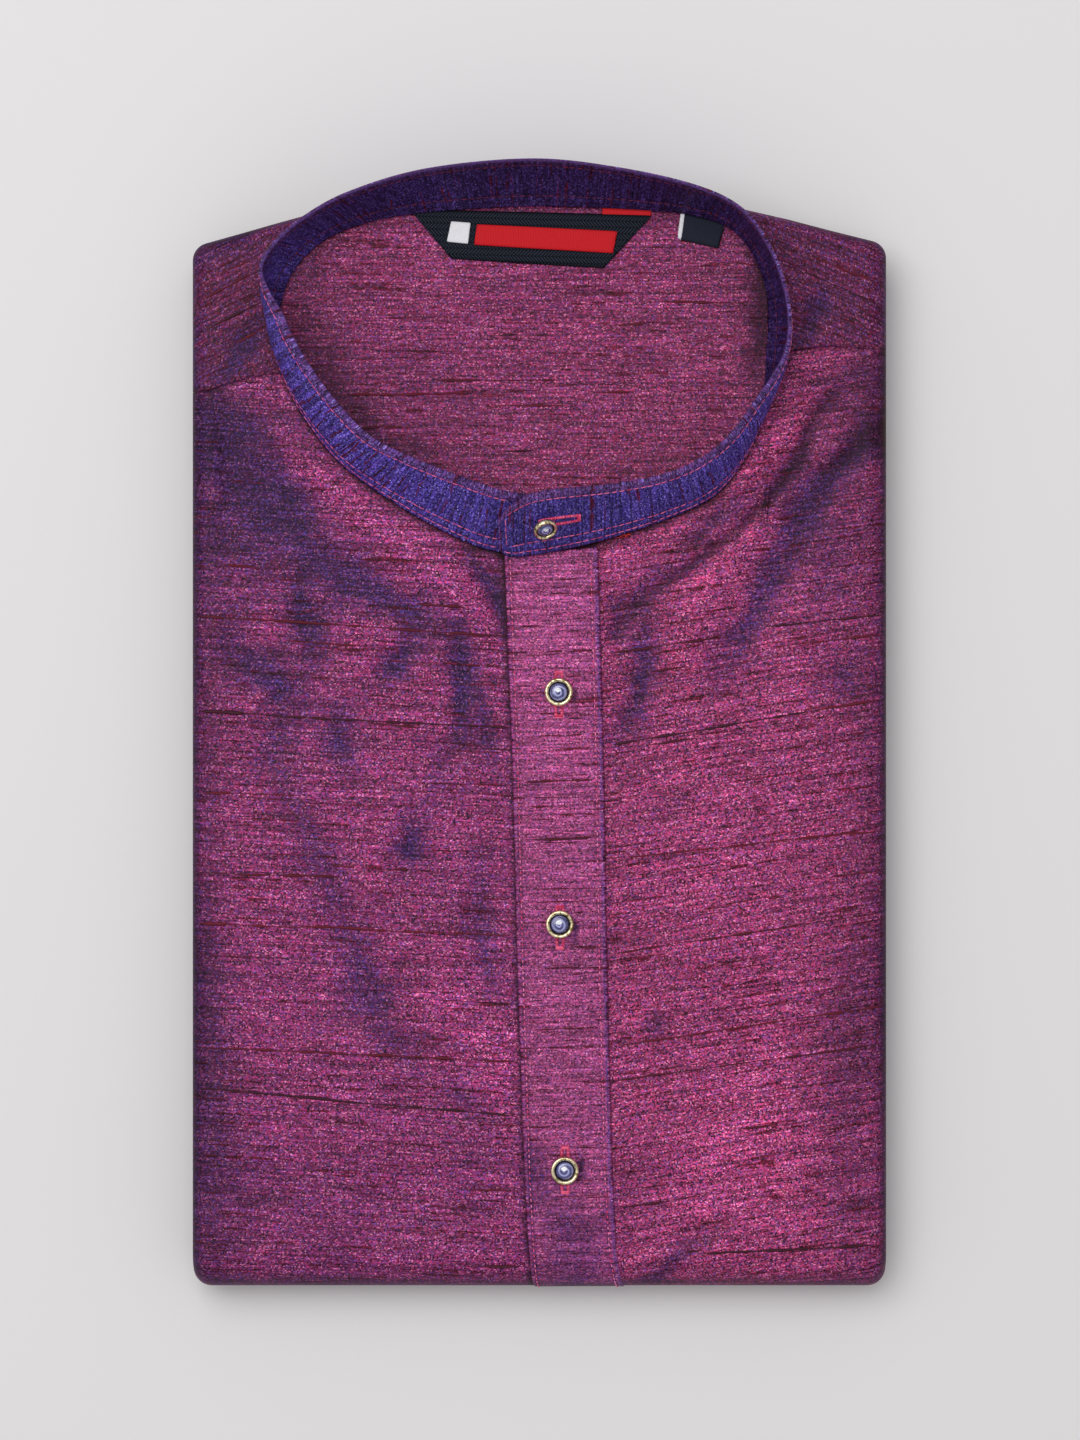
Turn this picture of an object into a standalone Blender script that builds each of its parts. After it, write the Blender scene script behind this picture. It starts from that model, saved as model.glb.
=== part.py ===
"""Kurta tunic in shot silk, buttoned and folded into a flat packet that lies on its folded lower half.

Units are metres, +Z is up, and +Y runs from the bottom fold to the collar. The origin is under the
middle of the packet, on the surface that it lies on. Left and right in names are the wearer's.
"""

import math
from collections import namedtuple
from functools import lru_cache

import bmesh
import bpy
from mathutils import Vector

MM = 0.001

# Driving sizes of the packet
PACKET_WIDTH = 250.6 * MM
BOTTOM_END = -201.6 * MM
TOP = 26.0 * MM
SIDE_FOLD = 6.5 * MM
CLOTH = 1.2 * MM
GAP = 0.3 * MM

# The upper strip turns under at the bottom end, round an axis at half the packet's height
END_FOLD = TOP / 2
END_AXIS = BOTTOM_END + END_FOLD
SIDE_LINE = PACKET_WIDTH / 2 - SIDE_FOLD
FOLD_HEIGHT = TOP - SIDE_FOLD

SIDE_TURNS = (22, 45, 68, 90, 112, 132, 150)
END_TURNS = (24, 48, 72, 96, 120, 144, 165)
FRONT_ROWS = 26
FRONT_COLUMNS = (0, 0.06, 0.13, 0.20, 0.27, 0.34, 0.41, 0.48, 0.54, 0.60, 0.66, 0.70, 0.74, 0.78, 0.85, 0.92, 1)

# Collar: half the wall's thickness, how far the cloth round it stops from the seam line, and the height
# along the packet at which the front edges reach it
COLLAR_HALF = 0.8 * MM
NECK_STEP = 0.5 * MM
NECK_FRONT = 60.0 * MM
COLLAR_STEPS = 2
COLLAR_HEIGHTS = (0, 0.25, 0.5, 0.75, 1)

# Round the neck from the end under the tab, by the right side, the back and the left side to the tab.
# Millimetres: seam line, top edge, rise of the edge, outward bow of the band, and lift over the end.
Station = namedtuple("Station", "seam_x seam_y edge_x edge_y rise bow lift")
COLLAR = (
    Station(11.4, 66.0, 12.0, 83.0, 6.5, 0.0, 0.0),
    Station(-14.5, 64.2, -10.1, 83.9, 9.2, 0.0, 0.0),
    Station(-36.1, 72.5, -28.3, 89.5, 12.0, 0.5, 0.0),
    Station(-57.7, 85.5, -47.1, 96.8, 15.5, 1.0, 0.0),
    Station(-72.1, 96.7, -60.6, 103.8, 17.5, 1.5, 0.0),
    Station(-82.2, 109.3, -71.9, 115.1, 19.0, 2.0, 0.0),
    Station(-89.7, 122.2, -81.5, 127.8, 20.2, 2.5, 0.0),
    Station(-93.7, 135.2, -88.2, 139.1, 21.5, 3.5, 0.0),
    Station(-94.4, 146.0, -91.7, 147.2, 22.2, 4.0, 0.0),
    Station(-93.3, 154.6, -96.6, 155.7, 22.0, 3.5, 0.0),
    Station(-90.0, 163.3, -98.9, 163.6, 21.0, 2.5, 0.0),
    Station(-84.0, 171.2, -94.6, 172.0, 20.2, 1.5, 0.0),
    Station(-75.0, 177.8, -84.3, 181.1, 20.4, 1.0, 0.0),
    Station(-59.5, 183.4, -67.7, 190.4, 19.6, 1.0, 0.0),
    Station(-36.1, 186.8, -39.9, 198.8, 18.4, 1.0, 0.0),
    Station(-2.2, 188.5, -2.2, 202.4, 17.6, 1.0, 0.0),
    Station(28.7, 187.7, 29.8, 198.6, 19.7, 1.0, 0.2),
    Station(53.9, 185.5, 56.5, 192.0, 21.4, 1.0, 0.7),
    Station(69.5, 180.0, 71.8, 184.1, 22.1, 1.0, 0.6),
    Station(78.0, 169.7, 81.0, 172.0, 22.2, 1.5, 0.2),
    Station(82.3, 157.5, 86.5, 158.5, 22.0, 2.0, 0.0),
    Station(83.1, 146.7, 88.7, 145.5, 21.7, 2.5, 0.0),
    Station(82.4, 135.2, 87.6, 134.4, 21.8, 3.0, 0.0),
    Station(81.6, 123.7, 83.3, 125.5, 22.2, 3.0, 0.0),
    Station(78.6, 109.3, 77.0, 116.4, 20.8, 2.0, 0.0),
    Station(72.3, 95.6, 68.5, 104.7, 19.0, 1.5, 0.0),
    Station(62.2, 83.9, 57.6, 95.9, 17.0, 1.0, 0.0),
    Station(46.0, 76.0, 43.3, 89.9, 14.5, 0.7, 0.3),
    Station(25.1, 69.3, 24.2, 86.5, 12.0, 0.3, 2.0),
    Station(5.3, 65.2, 5.6, 84.6, 10.0, 0.0, 2.9),
    Station(-3.7, 64.2, -3.3, 82.7, 9.2, 0.0, 2.9),
    Station(-9.8, 63.9, -9.8, 79.0, 7.6, 0.0, 2.9),
    Station(-12.7, 65.3, -12.7, 75.0, 4.8, 0.0, 2.9),
)
TAB_END = len(COLLAR) - 1
NECK_STATIONS = (1.0, 29.9)
NECK_POINTS = 120

# Where the yoke is sewn to a front: the seam's ends at the collar and at the side fold, its upward bow,
# and the collar stations, counted along the table, between which the front meets the band.
YokeSeam = namedtuple("YokeSeam", "neck_x neck_y side_y bow from_station to_station")
RIGHT_SEAM = YokeSeam(-92.4, 128.0, 121.4, 1.0, 1.0, 6.5)
LEFT_SEAM = YokeSeam(83.0, 133.6, 136.6, 2.0, 22.1, 31.0)

# The yoke round the back of the neck. Each row runs from a collar station out to the start of the fold
# (millimetres), which turns down towards the heading (degrees) with a reach in plan (millimetres).
# The seams bow the outer rows.
YokeRow = namedtuple("YokeRow", "station fold_x fold_y heading reach bow")
YOKE = (
    YokeRow(6.45, -118.8, 121.4, 180.0, 6.5, 1.0),
    YokeRow(7.2, -118.8, 133.0, 180.0, 6.5, 0.6),
    YokeRow(8.2, -118.8, 145.0, 180.0, 6.5, 0.0),
    YokeRow(9.2, -118.8, 157.0, 180.0, 6.5, 0.0),
    YokeRow(9.9, -118.8, 167.8, 180.0, 6.5, 0.0),
    YokeRow(10.1, -118.8, 167.8, 155.0, 6.5, 0.0),
    YokeRow(10.3, -118.8, 167.8, 130.0, 6.5, 0.0),
    YokeRow(10.5, -118.8, 167.8, 105.7, 6.5, 0.0),
    YokeRow(11.2, -106.0, 171.4, 105.7, 6.5, 0.0),
    YokeRow(12.0, -92.0, 175.4, 105.7, 6.5, 0.0),
    YokeRow(12.7, -76.0, 179.9, 105.7, 6.5, 0.0),
    YokeRow(13.3, -58.0, 185.0, 105.7, 6.5, 0.0),
    YokeRow(14.0, -40.0, 189.6, 100.0, 6.5, 0.0),
    YokeRow(14.6, -20.0, 190.9, 91.0, 6.5, 0.0),
    YokeRow(15.0, -2.2, 191.0, 90.0, 6.5, 0.0),
    YokeRow(15.5, 14.0, 190.9, 89.0, 6.5, 0.0),
    YokeRow(16.0, 30.0, 190.4, 84.0, 5.3, 0.0),
    YokeRow(17.0, 52.0, 187.6, 80.0, 3.6, 0.0),
    YokeRow(18.0, 71.0, 182.6, 76.1, 4.6, 0.0),
    YokeRow(18.7, 88.0, 177.2, 76.1, 5.8, 0.0),
    YokeRow(19.3, 104.0, 172.2, 76.1, 6.5, 0.0),
    YokeRow(19.9, 118.8, 168.5, 76.1, 6.5, 0.0),
    YokeRow(20.1, 118.8, 168.5, 50.0, 6.5, 0.0),
    YokeRow(20.3, 118.8, 168.5, 25.0, 6.5, 0.0),
    YokeRow(20.5, 118.8, 168.5, 0.0, 6.5, 0.0),
    YokeRow(21.2, 118.8, 157.0, 0.0, 6.5, 0.0),
    YokeRow(21.8, 118.8, 146.0, 0.0, 6.5, 1.0),
    YokeRow(22.1, 118.8, 136.6, 0.0, 6.5, 2.0),
)
YOKE_COLUMNS = (0, 0.25, 0.5, 0.75, 1)

# Placket: its height along the packet and its two edges, in millimetres
PlacketRow = namedtuple("PlacketRow", "y left right")
PLACKET = (
    PlacketRow(66.0, -12.1, 20.5),
    PlacketRow(-11.7, -9.1, 22.6),
    PlacketRow(-90.9, -7.1, 23.9),
    PlacketRow(-160.0, -4.4, 26.0),
    PlacketRow(-205.0, -1.5, 29.2),
)
PLACKET_TOP_LEFT = (-12.0, 62.2)
PLACKET_TOP_RIGHT = (20.4, 64.6)
PLACKET_CLOTH = 1.3 * MM
PLACKET_ROWS = 24

# Largest creases of the fronts in millimetres, with the angle of each from +X in degrees
Crease = namedtuple("Crease", "x y half_length half_width angle height")
CREASES = (
    Crease(-64.2, 87.3, 40, 6.5, -49, 1.0),
    Crease(-99.5, 86.0, 34, 15, -55, -1.1),
    Crease(-21.3, 48.8, 18, 4.5, -61, -0.9),
    Crease(-83.3, 36.5, 14, 9, 85, -0.9),
    Crease(-27.5, 16.7, 18, 5, 88, -0.9),
    Crease(-71.7, 3.4, 13, 7, 20, -0.7),
    Crease(-93.7, -15.3, 15, 8, 70, -0.8),
    Crease(-46.9, -40.5, 16, 8, 60, -0.8),
    Crease(-19.8, -68.0, 20, 5.5, 95, -0.9),
    Crease(-63.8, -90.2, 15, 10, 80, -1.0),
    Crease(-36.8, -127.3, 15, 8, 75, -0.8),
    Crease(108.6, 103.5, 18, 7, 30, -1.1),
    Crease(85.6, 80.1, 18, 7, 60, -1.1),
    Crease(67.6, 39.4, 23, 6.5, 69, -1.1),
    Crease(72.0, 84.0, 22, 5, 42, 0.9),
    Crease(35.0, 34.0, 20, 5, 82, -0.8),
    Crease(92.0, 10.0, 16, 9, 40, -0.6),
    Crease(78.0, -98.5, 16, 9, 60, -0.8),
    Crease(42.8, -141.3, 16, 8, 75, -0.8),
    Crease(60.0, -178.0, 14, 5, 25, -0.7),
)
CREASE_FADE = 12 * MM

# Folded layers, bottom to top: underside, top, height of the fold's widest line, reach of the fold
# and how far the layer stops short of the packet's sides, bottom end and shoulders (millimetres).
# The upper layer follows the shoulders instead, through corners of its own.
Layer = namedtuple("Layer", "low high widest reach side bottom shoulder")
LOWEST = Layer(0.0, 6.8, 3.3, 3.3, 0.3, 10.5, 30.0)
MIDDLE = Layer(6.5, 13.1, 9.8, 3.3, 1.2, 3.0, 26.0)
FILLING = Layer(12.8, 15.0, 13.9, 0.8, 5.7, 13.0, 28.0)
UPPER = Layer(14.5, 23.3, 19.5, 5.0, 1.5, 5.3, 1.5)
CORNER_CUT = 13.0 * MM
SHOULDER_TOP = 196.0 * MM
UPPER_SHOULDER = ((118.8, 168.3), (30.0, 188.4), (-41.0, 189.0), (-118.8, 167.6))
FOLD_STEPS = 8
CORNER_STEPS = 3

# The inside of the back is a shallow dish below the seam line of the neck
NECK_MIDDLE = Vector((-5.0 * MM, 126.0 * MM))
DISH_EDGE = 25.5 * MM
DISH_FRONT_EDGE = 24.2 * MM
DISH_FRONT = 95.0 * MM
DISH_RISE = 40.0 * MM
DISH_FLOOR = 22.1 * MM
DISH_RINGS = (0, 0.2, 0.4, 0.58, 0.74, 0.88, 1)
DISH_SPOKES = 36
RECESS_FLOOR = 20.5 * MM
RECESS_GROWTH = 1.02

# Labels: corners in millimetres, clockwise from the top left corner
LABEL = ((-46.2, 185.0), (39.5, 183.1), (22.3, 165.4), (-32.1, 168.7))
PATCH = ((-32.1, 181.6), (-24.9, 181.1), (-26.0, 173.7), (-33.6, 174.4))
BAR = ((-22.8, 180.7), (27.2, 178.1), (25.6, 170.5), (-23.8, 173.5))
TAB = ((22.6, 186.7), (39.5, 186.0), (39.9, 183.6), (22.6, 184.0))
SIZE_TAB = ((51.0, 184.0), (65.0, 180.2), (65.1, 173.3), (50.3, 176.9))
LABEL_CLOTH = 0.8 * MM
PATCH_CLOTH = 0.5 * MM

# Buttons: place along the placket, and share of the band's height and station for the one on the tab
BUTTONS = ((6.9, 13.1), (7.3, -70.4), (9.1, -158.9))
BUTTON_RADIUS = 5.0 * MM
BUTTON_STEPS = 20
TAB_BUTTON_STATION = 29.35
TAB_BUTTON_HEIGHT = 0.42

# Colours: base colour, roughness, metallic
SILK = ((0.20, 0.045, 0.13), 0.45, 0.0)
SILK_ACROSS = ((0.07, 0.055, 0.25), 0.45, 0.0)
TAPE = ((0.012, 0.016, 0.03), 0.8, 0.0)
WHITE_SATIN = ((0.75, 0.75, 0.78), 0.5, 0.0)
RED_SATIN = ((0.65, 0.02, 0.03), 0.5, 0.0)
BRASS_AND_PEARL = ((0.45, 0.42, 0.40), 0.3, 0.6)


def clear_scene():
    for item in list(bpy.data.objects):
        bpy.data.objects.remove(item)


def make_material(name, look):
    colour, roughness, metallic = look
    material = bpy.data.materials.new(name)
    material.use_nodes = True
    shader = material.node_tree.nodes["Principled BSDF"]
    shader.inputs["Base Color"].default_value = (*colour, 1.0)
    shader.inputs["Roughness"].default_value = roughness
    shader.inputs["Metallic"].default_value = metallic
    return material


def add_object(name, mesh, look, collection):
    item = bpy.data.objects.new(name, mesh)
    mesh.materials.append(make_material(name, look))
    mesh.shade_smooth()
    mesh.set_sharp_from_angle(angle=math.radians(40))
    collection.objects.link(item)
    return item


def mesh_from_rows(name, rows, close_rows=False, caps=False):
    """A mesh through rows of points. Points at the same place are one vertex, and flat faces are left out."""
    bm = bmesh.new()
    found = {}

    def vertex(point):
        key = tuple(round(value * 1e7) for value in point)
        if key not in found:
            found[key] = bm.verts.new(point)
        return found[key]

    grid = [[vertex(point) for point in row] for row in rows]
    ends = range(len(grid[0]) if close_rows else len(grid[0]) - 1)
    for upper, lower in zip(grid, grid[1:]):
        for i in ends:
            j = (i + 1) % len(upper)
            corners = []
            for corner in (upper[i], lower[i], lower[j], upper[j]):
                if corner not in corners:
                    corners.append(corner)
            if len(corners) > 2:
                bm.faces.new(corners)
    if caps:
        for row in (grid[0], grid[-1]):
            bm.faces.new(list(dict.fromkeys(row)))
        bmesh.ops.recalc_face_normals(bm, faces=bm.faces)
    mesh = bpy.data.meshes.new(name)
    bm.to_mesh(mesh)
    bm.free()
    return mesh


def add_wall(name, rows, thickness, look, collection, offset=-1.0, turn_over=False):
    """An open cloth surface, whose rows give its outer side, made a wall by Solidify."""
    mesh = mesh_from_rows(name, [row[::-1] for row in rows] if turn_over else rows)
    item = add_object(name, mesh, look, collection)
    wall = item.modifiers.new("Wall", "SOLIDIFY")
    wall.thickness = thickness
    wall.offset = offset
    return item


def blend(first, second, share):
    return first + (second - first) * share


def smooth_step(value):
    value = min(max(value, 0.0), 1.0)
    return value * value * (3 - 2 * value)


def smooth_row(table, place):
    """A row of a table at a place counted in rows, on a smooth curve through the rows."""
    last = len(table) - 1
    place = min(max(place, 0.0), last)
    start = min(int(place), last - 1)
    t = place - start
    near = [table[min(max(start + step, 0), last)] for step in (-1, 0, 1, 2)]
    values = [
        b + 0.5 * t * (c - a + t * (2 * a - 5 * b + 4 * c - d + t * (3 * (b - c) + d - a)))
        for a, b, c, d in zip(*near)
    ]
    return type(table[0])(*values)


def placket_edges(y):
    """The placket's left and right edge at one height."""
    for upper, lower in zip(PLACKET, PLACKET[1:]):
        if y >= lower.y * MM or lower is PLACKET[-1]:
            share = (y - upper.y * MM) / ((lower.y - upper.y) * MM)
            return blend(upper.left, lower.left, share) * MM, blend(upper.right, lower.right, share) * MM


def placket_middle(y):
    return sum(placket_edges(y)) / 2


def seam_point(station):
    """The collar's seam line in plan."""
    row = smooth_row(COLLAR, station)
    return Vector((row.seam_x, row.seam_y)) * MM


def neck_edge(station, step=NECK_STEP):
    """The seam line moved outwards in plan, where fronts and yoke stop."""
    along = seam_point(station + 0.05) - seam_point(station - 0.05)
    return seam_point(station) + Vector((-along.y, along.x)).normalized() * step


def collar_point(station, height):
    """A point of the collar's middle surface, and the direction out of the band there."""
    row = smooth_row(COLLAR, station)
    before = smooth_row(COLLAR, station - 0.05)
    after = smooth_row(COLLAR, station + 0.05)
    chord = Vector((row.edge_x - row.seam_x, row.edge_y - row.seam_y, row.rise)) * MM
    along = Vector((after.seam_x + after.edge_x, after.seam_y + after.edge_y, after.rise + 2 * after.lift))
    along -= Vector((before.seam_x + before.edge_x, before.seam_y + before.edge_y, before.rise + 2 * before.lift))
    out = chord.cross(along).normalized()
    foot = (chord + out * (4 * row.bow * MM)).cross(along).normalized()
    seat = TOP + GAP + COLLAR_HALF * abs(foot.z) + row.lift * MM
    seam = Vector((row.seam_x * MM, row.seam_y * MM, seat))
    return seam + chord * height + out * (row.bow * MM * 4 * height * (1 - height)), out


def seam_height(seam, x):
    """The yoke seam's y at one x, level round the side fold."""
    share = (x - seam.neck_x * MM) / (math.copysign(SIDE_LINE, seam.neck_x) - seam.neck_x * MM)
    share = min(max(share, 0.0), 1.0)
    return blend(seam.neck_y, seam.side_y, share) * MM + seam.bow * MM * 4 * share * (1 - share)


@lru_cache
def seam_edge(seam):
    """Points of the neck edge along the part of the collar that a front meets."""
    places = [blend(seam.from_station, seam.to_station, i / NECK_POINTS) for i in range(NECK_POINTS + 1)]
    return [neck_edge(place) for place in places]


def front_top(seam, x):
    """The upper end of a front at one x: the yoke seam, or the collar's seam line."""
    if abs(x) >= abs(seam.neck_x * MM):
        return seam_height(seam, x) - GAP / 2
    edge = seam_edge(seam)
    heights = [
        blend(a.y, b.y, (x - a.x) / (b.x - a.x))
        for a, b in zip(edge, edge[1:])
        if a.x != b.x and min(a.x, b.x) <= x <= max(a.x, b.x)
    ]
    return min(heights, default=min(point.y for point in edge))


def crease_height(x, y):
    """Rise of the fronts by their creases, which die out at folds, placket, neck and yoke."""
    total = 0.0
    for crease in CREASES:
        angle = math.radians(crease.angle)
        dx = x / MM - crease.x
        dy = y / MM - crease.y
        along = (dx * math.cos(angle) + dy * math.sin(angle)) / crease.half_length
        across = (dy * math.cos(angle) - dx * math.sin(angle)) / crease.half_width
        total += crease.height * math.exp(-along * along - across * across)
    left, right = placket_edges(y)
    seam = LEFT_SEAM if x > placket_middle(y) else RIGHT_SEAM
    fade = smooth_step((SIDE_LINE - abs(x)) / CREASE_FADE)
    fade *= smooth_step((y - END_AXIS) / CREASE_FADE)
    fade *= smooth_step((front_top(seam, x) - y) / CREASE_FADE)
    fade *= smooth_step(max(left - x, x - right, 0.0) / CREASE_FADE)
    return min(max(total, -1.15), 1.2) * fade * MM


def fold_under(x, y, drop, turn):
    """A point of the packet's skin that lies drop below the top, rolled round the bottom end by turn."""
    if turn == 0:
        return Vector((x, y, TOP - drop))
    reach = END_FOLD - drop
    angle = math.radians(turn)
    return Vector((x, END_AXIS - reach * math.sin(angle), END_FOLD + reach * math.cos(angle)))


def front_rows(seam):
    """Rows of a front from the neck to under the bottom fold, each from the placket round the side fold."""
    side = math.copysign(1, seam.neck_x)
    rows = []
    steps = [(i / FRONT_ROWS, 0) for i in range(FRONT_ROWS + 1)] + [(1, turn) for turn in END_TURNS]
    for down, turn in steps:
        row = []
        for share in FRONT_COLUMNS:
            inner = placket_middle(NECK_FRONT) + side * GAP
            top = front_top(seam, blend(inner, side * SIDE_LINE, share))
            y = blend(top, END_AXIS, down)
            x = blend(placket_middle(y) + side * GAP, side * SIDE_LINE, share)
            row.append(fold_under(x, y, -crease_height(x, y), turn))
        y = blend(seam_height(seam, side * SIDE_LINE) - GAP / 2, END_AXIS, down)
        for angle in map(math.radians, SIDE_TURNS):
            x = side * (SIDE_LINE + SIDE_FOLD * math.sin(angle))
            row.append(fold_under(x, y, SIDE_FOLD * (1 - math.cos(angle)), turn))
        rows.append(row)
    return rows


def build_fronts(collection):
    add_wall("front_right", front_rows(RIGHT_SEAM), CLOTH, SILK, collection, turn_over=True)
    add_wall("front_left", front_rows(LEFT_SEAM), CLOTH, SILK, collection)


def yoke_line(row):
    """Points of one row of the yoke, from the neck to the tuck under the fold."""
    neck = neck_edge(row.station)
    fold = Vector((row.fold_x, row.fold_y)) * MM
    heading = Vector((math.cos(math.radians(row.heading)), math.sin(math.radians(row.heading))))
    points = []
    for share in YOKE_COLUMNS:
        place = neck.lerp(fold, share)
        place.y += row.bow * MM * 4 * share * (1 - share) + GAP / 2
        points.append(Vector((place.x, place.y, TOP)))
    for angle in map(math.radians, SIDE_TURNS):
        place = fold + heading * row.reach * MM * math.sin(angle)
        points.append(Vector((place.x, place.y + GAP / 2, FOLD_HEIGHT + SIDE_FOLD * math.cos(angle))))
    return points


def build_yoke(collection):
    rows = [yoke_line(YOKE[0])]
    for first, second in zip(YOKE, YOKE[1:]):
        middle = YokeRow(*[blend(a, b, 0.5) for a, b in zip(first, second)])
        rows += [yoke_line(middle), yoke_line(second)]
    add_wall("yoke", rows, CLOTH, SILK, collection)


def dish_scale(place):
    """How far a place is from the neck's middle, as a share of the way to the seam line."""
    away = place - NECK_MIDDLE
    return away.length / neck_radius(math.atan2(away.y, away.x))


@lru_cache
def neck_ring():
    """Direction and distance of points of the seam line from the neck's middle."""
    steps = 400
    away = [seam_point(blend(*NECK_STATIONS, i / steps)) - NECK_MIDDLE for i in range(steps + 1)]
    return [(math.atan2(point.y, point.x), point.length) for point in away]


def neck_radius(angle):
    """Distance from the neck's middle to the seam line in one direction, less the step."""
    nearest = min(neck_ring(), key=lambda point: abs(math.remainder(point[0] - angle, math.tau)))
    return nearest[1] - NECK_STEP


def dish_height(place):
    """Height of the inside of the back, which starts lower at the front, where it passes under the fronts."""
    scale = min(dish_scale(place), 1.0)
    edge = blend(DISH_FRONT_EDGE, DISH_EDGE, smooth_step((place.y - DISH_FRONT) / DISH_RISE))
    return edge - (edge - DISH_FLOOR) * (1 - scale**2) ** 1.3


def build_inner_back(collection):
    rows = []
    angles = [math.tau * i / DISH_SPOKES for i in range(DISH_SPOKES + 1)]
    radii = [neck_radius(angle) for angle in angles]
    for scale in DISH_RINGS:
        row = []
        for angle, radius in zip(angles, radii):
            place = NECK_MIDDLE + Vector((math.cos(angle), math.sin(angle))) * radius * scale
            row.append(Vector((place.x, place.y, dish_height(place))))
        row[-1] = row[0]
        rows.append(row)
    add_wall("inner_back", rows, CLOTH, SILK, collection)


def build_collar(collection):
    rows = []
    for i in range(TAB_END * COLLAR_STEPS + 1):
        rows.append([collar_point(i / COLLAR_STEPS, height)[0] for height in COLLAR_HEIGHTS])
    add_wall("collar_stand", rows, 2 * COLLAR_HALF, SILK_ACROSS, collection, offset=0.0, turn_over=True)


def placket_top(x):
    """The placket ends just short of the band and of the end under the tab."""
    left_x, left_y = PLACKET_TOP_LEFT
    right_x, right_y = PLACKET_TOP_RIGHT
    return blend(left_y, right_y, (x / MM - left_x) / (right_x - left_x)) * MM


def build_placket(collection):
    rows = []
    steps = [(i / PLACKET_ROWS, 0) for i in range(PLACKET_ROWS + 1)] + [(1, turn) for turn in END_TURNS[:-1]]
    for down, turn in steps:
        row = []
        for share in (0, 0.5, 1):
            left, right = placket_edges(NECK_FRONT)
            y = blend(placket_top(blend(left, right, share)), END_AXIS, down)
            left, right = placket_edges(y)
            row.append(fold_under(blend(left, right, share), y, -GAP - PLACKET_CLOTH, turn))
        rows.append(row)
    add_wall("placket", rows, PLACKET_CLOTH, SILK, collection)


def add_label(name, corners, columns, rows, lift, thickness, look, collection):
    """A flat piece that follows the dish of the inner back, lift above it."""
    top_left, top_right, bottom_right, bottom_left = [Vector(corner) * MM for corner in corners]
    grid = []
    for i in range(rows + 1):
        left = top_left.lerp(bottom_left, i / rows)
        right = top_right.lerp(bottom_right, i / rows)
        row = []
        for j in range(columns + 1):
            place = left.lerp(right, j / columns)
            height = dish_height(place) + lift + thickness
            row.append(Vector((place.x, place.y, height)))
        grid.append(row)
    add_wall(name, grid, thickness, look, collection)


def build_labels(collection):
    on_label = 2 * GAP + LABEL_CLOTH
    add_label("neck_label", LABEL, 8, 3, GAP, LABEL_CLOTH, TAPE, collection)
    add_label("label_patch", PATCH, 1, 2, on_label, PATCH_CLOTH, WHITE_SATIN, collection)
    add_label("label_bar", BAR, 5, 2, on_label, PATCH_CLOTH, RED_SATIN, collection)
    add_label("label_tab", TAB, 2, 1, GAP, PATCH_CLOTH, RED_SATIN, collection)
    add_label("size_tab", SIZE_TAB, 2, 2, GAP, LABEL_CLOTH, TAPE, collection)


def add_button(name, place, direction, collection):
    """A turned button: flat back, round rim and a dome in a shallow groove."""
    profile = ((0.0, 0.56), (0.28, 0.53), (0.52, 0.44), (0.64, 0.38), (0.78, 0.5), (0.94, 0.46))
    profile += ((1.0, 0.3), (0.9, 0.08), (0.6, 0.0), (0.0, 0.0))
    mesh = bpy.data.meshes.new(name)
    points = [(radius * BUTTON_RADIUS, 0, height * BUTTON_RADIUS) for radius, height in profile]
    mesh.from_pydata(points, [(i, i + 1) for i in range(len(points) - 1)], [])
    item = add_object(name, mesh, BRASS_AND_PEARL, collection)
    turned = item.modifiers.new("Turned", "SCREW")
    turned.steps = BUTTON_STEPS
    turned.render_steps = BUTTON_STEPS
    turned.use_merge_vertices = True
    turned.merge_threshold = 0.00001
    item.location = place
    item.rotation_mode = "QUATERNION"
    item.rotation_quaternion = Vector((0, 0, 1)).rotation_difference(direction)


def build_buttons(collection):
    height = TOP + GAP + PLACKET_CLOTH + GAP
    for number, (x, y) in enumerate(BUTTONS, 1):
        add_button(f"button_{number}", Vector((x * MM, y * MM, height)), Vector((0, 0, 1)), collection)
    place, out = collar_point(TAB_BUTTON_STATION, TAB_BUTTON_HEIGHT)
    seat = place + out * (COLLAR_HALF + GAP)
    add_button("button_collar", seat, out, collection)


def slab_rows(layer, corners):
    """Rings of a layer with a rounded fold all round, from its top to its underside."""
    count = len(corners)
    headings = []
    for i in range(count):
        edge = corners[(i + 1) % count] - corners[i]
        headings.append(math.atan2(-edge.x, edge.y))
    rows = []
    for step in range(FOLD_STEPS + 1):
        angle = math.pi * step / FOLD_STEPS
        reach = layer.reach * MM * math.sin(angle)
        span = layer.high - layer.widest if step < FOLD_STEPS / 2 else layer.widest - layer.low
        height = (layer.widest + span * math.cos(angle)) * MM
        ring = []
        for i, corner in enumerate(corners):
            start = headings[i - 1]
            turn = math.remainder(headings[i] - start, math.tau)
            for k in range(CORNER_STEPS + 1):
                heading = start + turn * k / CORNER_STEPS
                place = corner + Vector((math.cos(heading), math.sin(heading))) * reach
                ring.append(Vector((place.x, place.y, height)))
        rows.append(ring)
    return rows


def layer_corners(layer):
    """Corners of a layer's flat middle, anticlockwise from the bottom left."""
    x = PACKET_WIDTH / 2 - (layer.side + layer.reach) * MM
    bottom = BOTTOM_END + (layer.bottom + layer.reach) * MM
    if layer is UPPER:
        top = tuple((corner_x * MM, corner_y * MM) for corner_x, corner_y in UPPER_SHOULDER)
    else:
        top_end = SHOULDER_TOP - layer.shoulder * MM
        top = ((x, top_end), (-x, top_end))
    if layer is MIDDLE:
        low = ((-x, bottom + CORNER_CUT), (-x + CORNER_CUT, bottom), (x - CORNER_CUT, bottom), (x, bottom + CORNER_CUT))
    else:
        low = ((-x, bottom), (x, bottom))
    return [Vector(point) for point in low + top]


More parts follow.
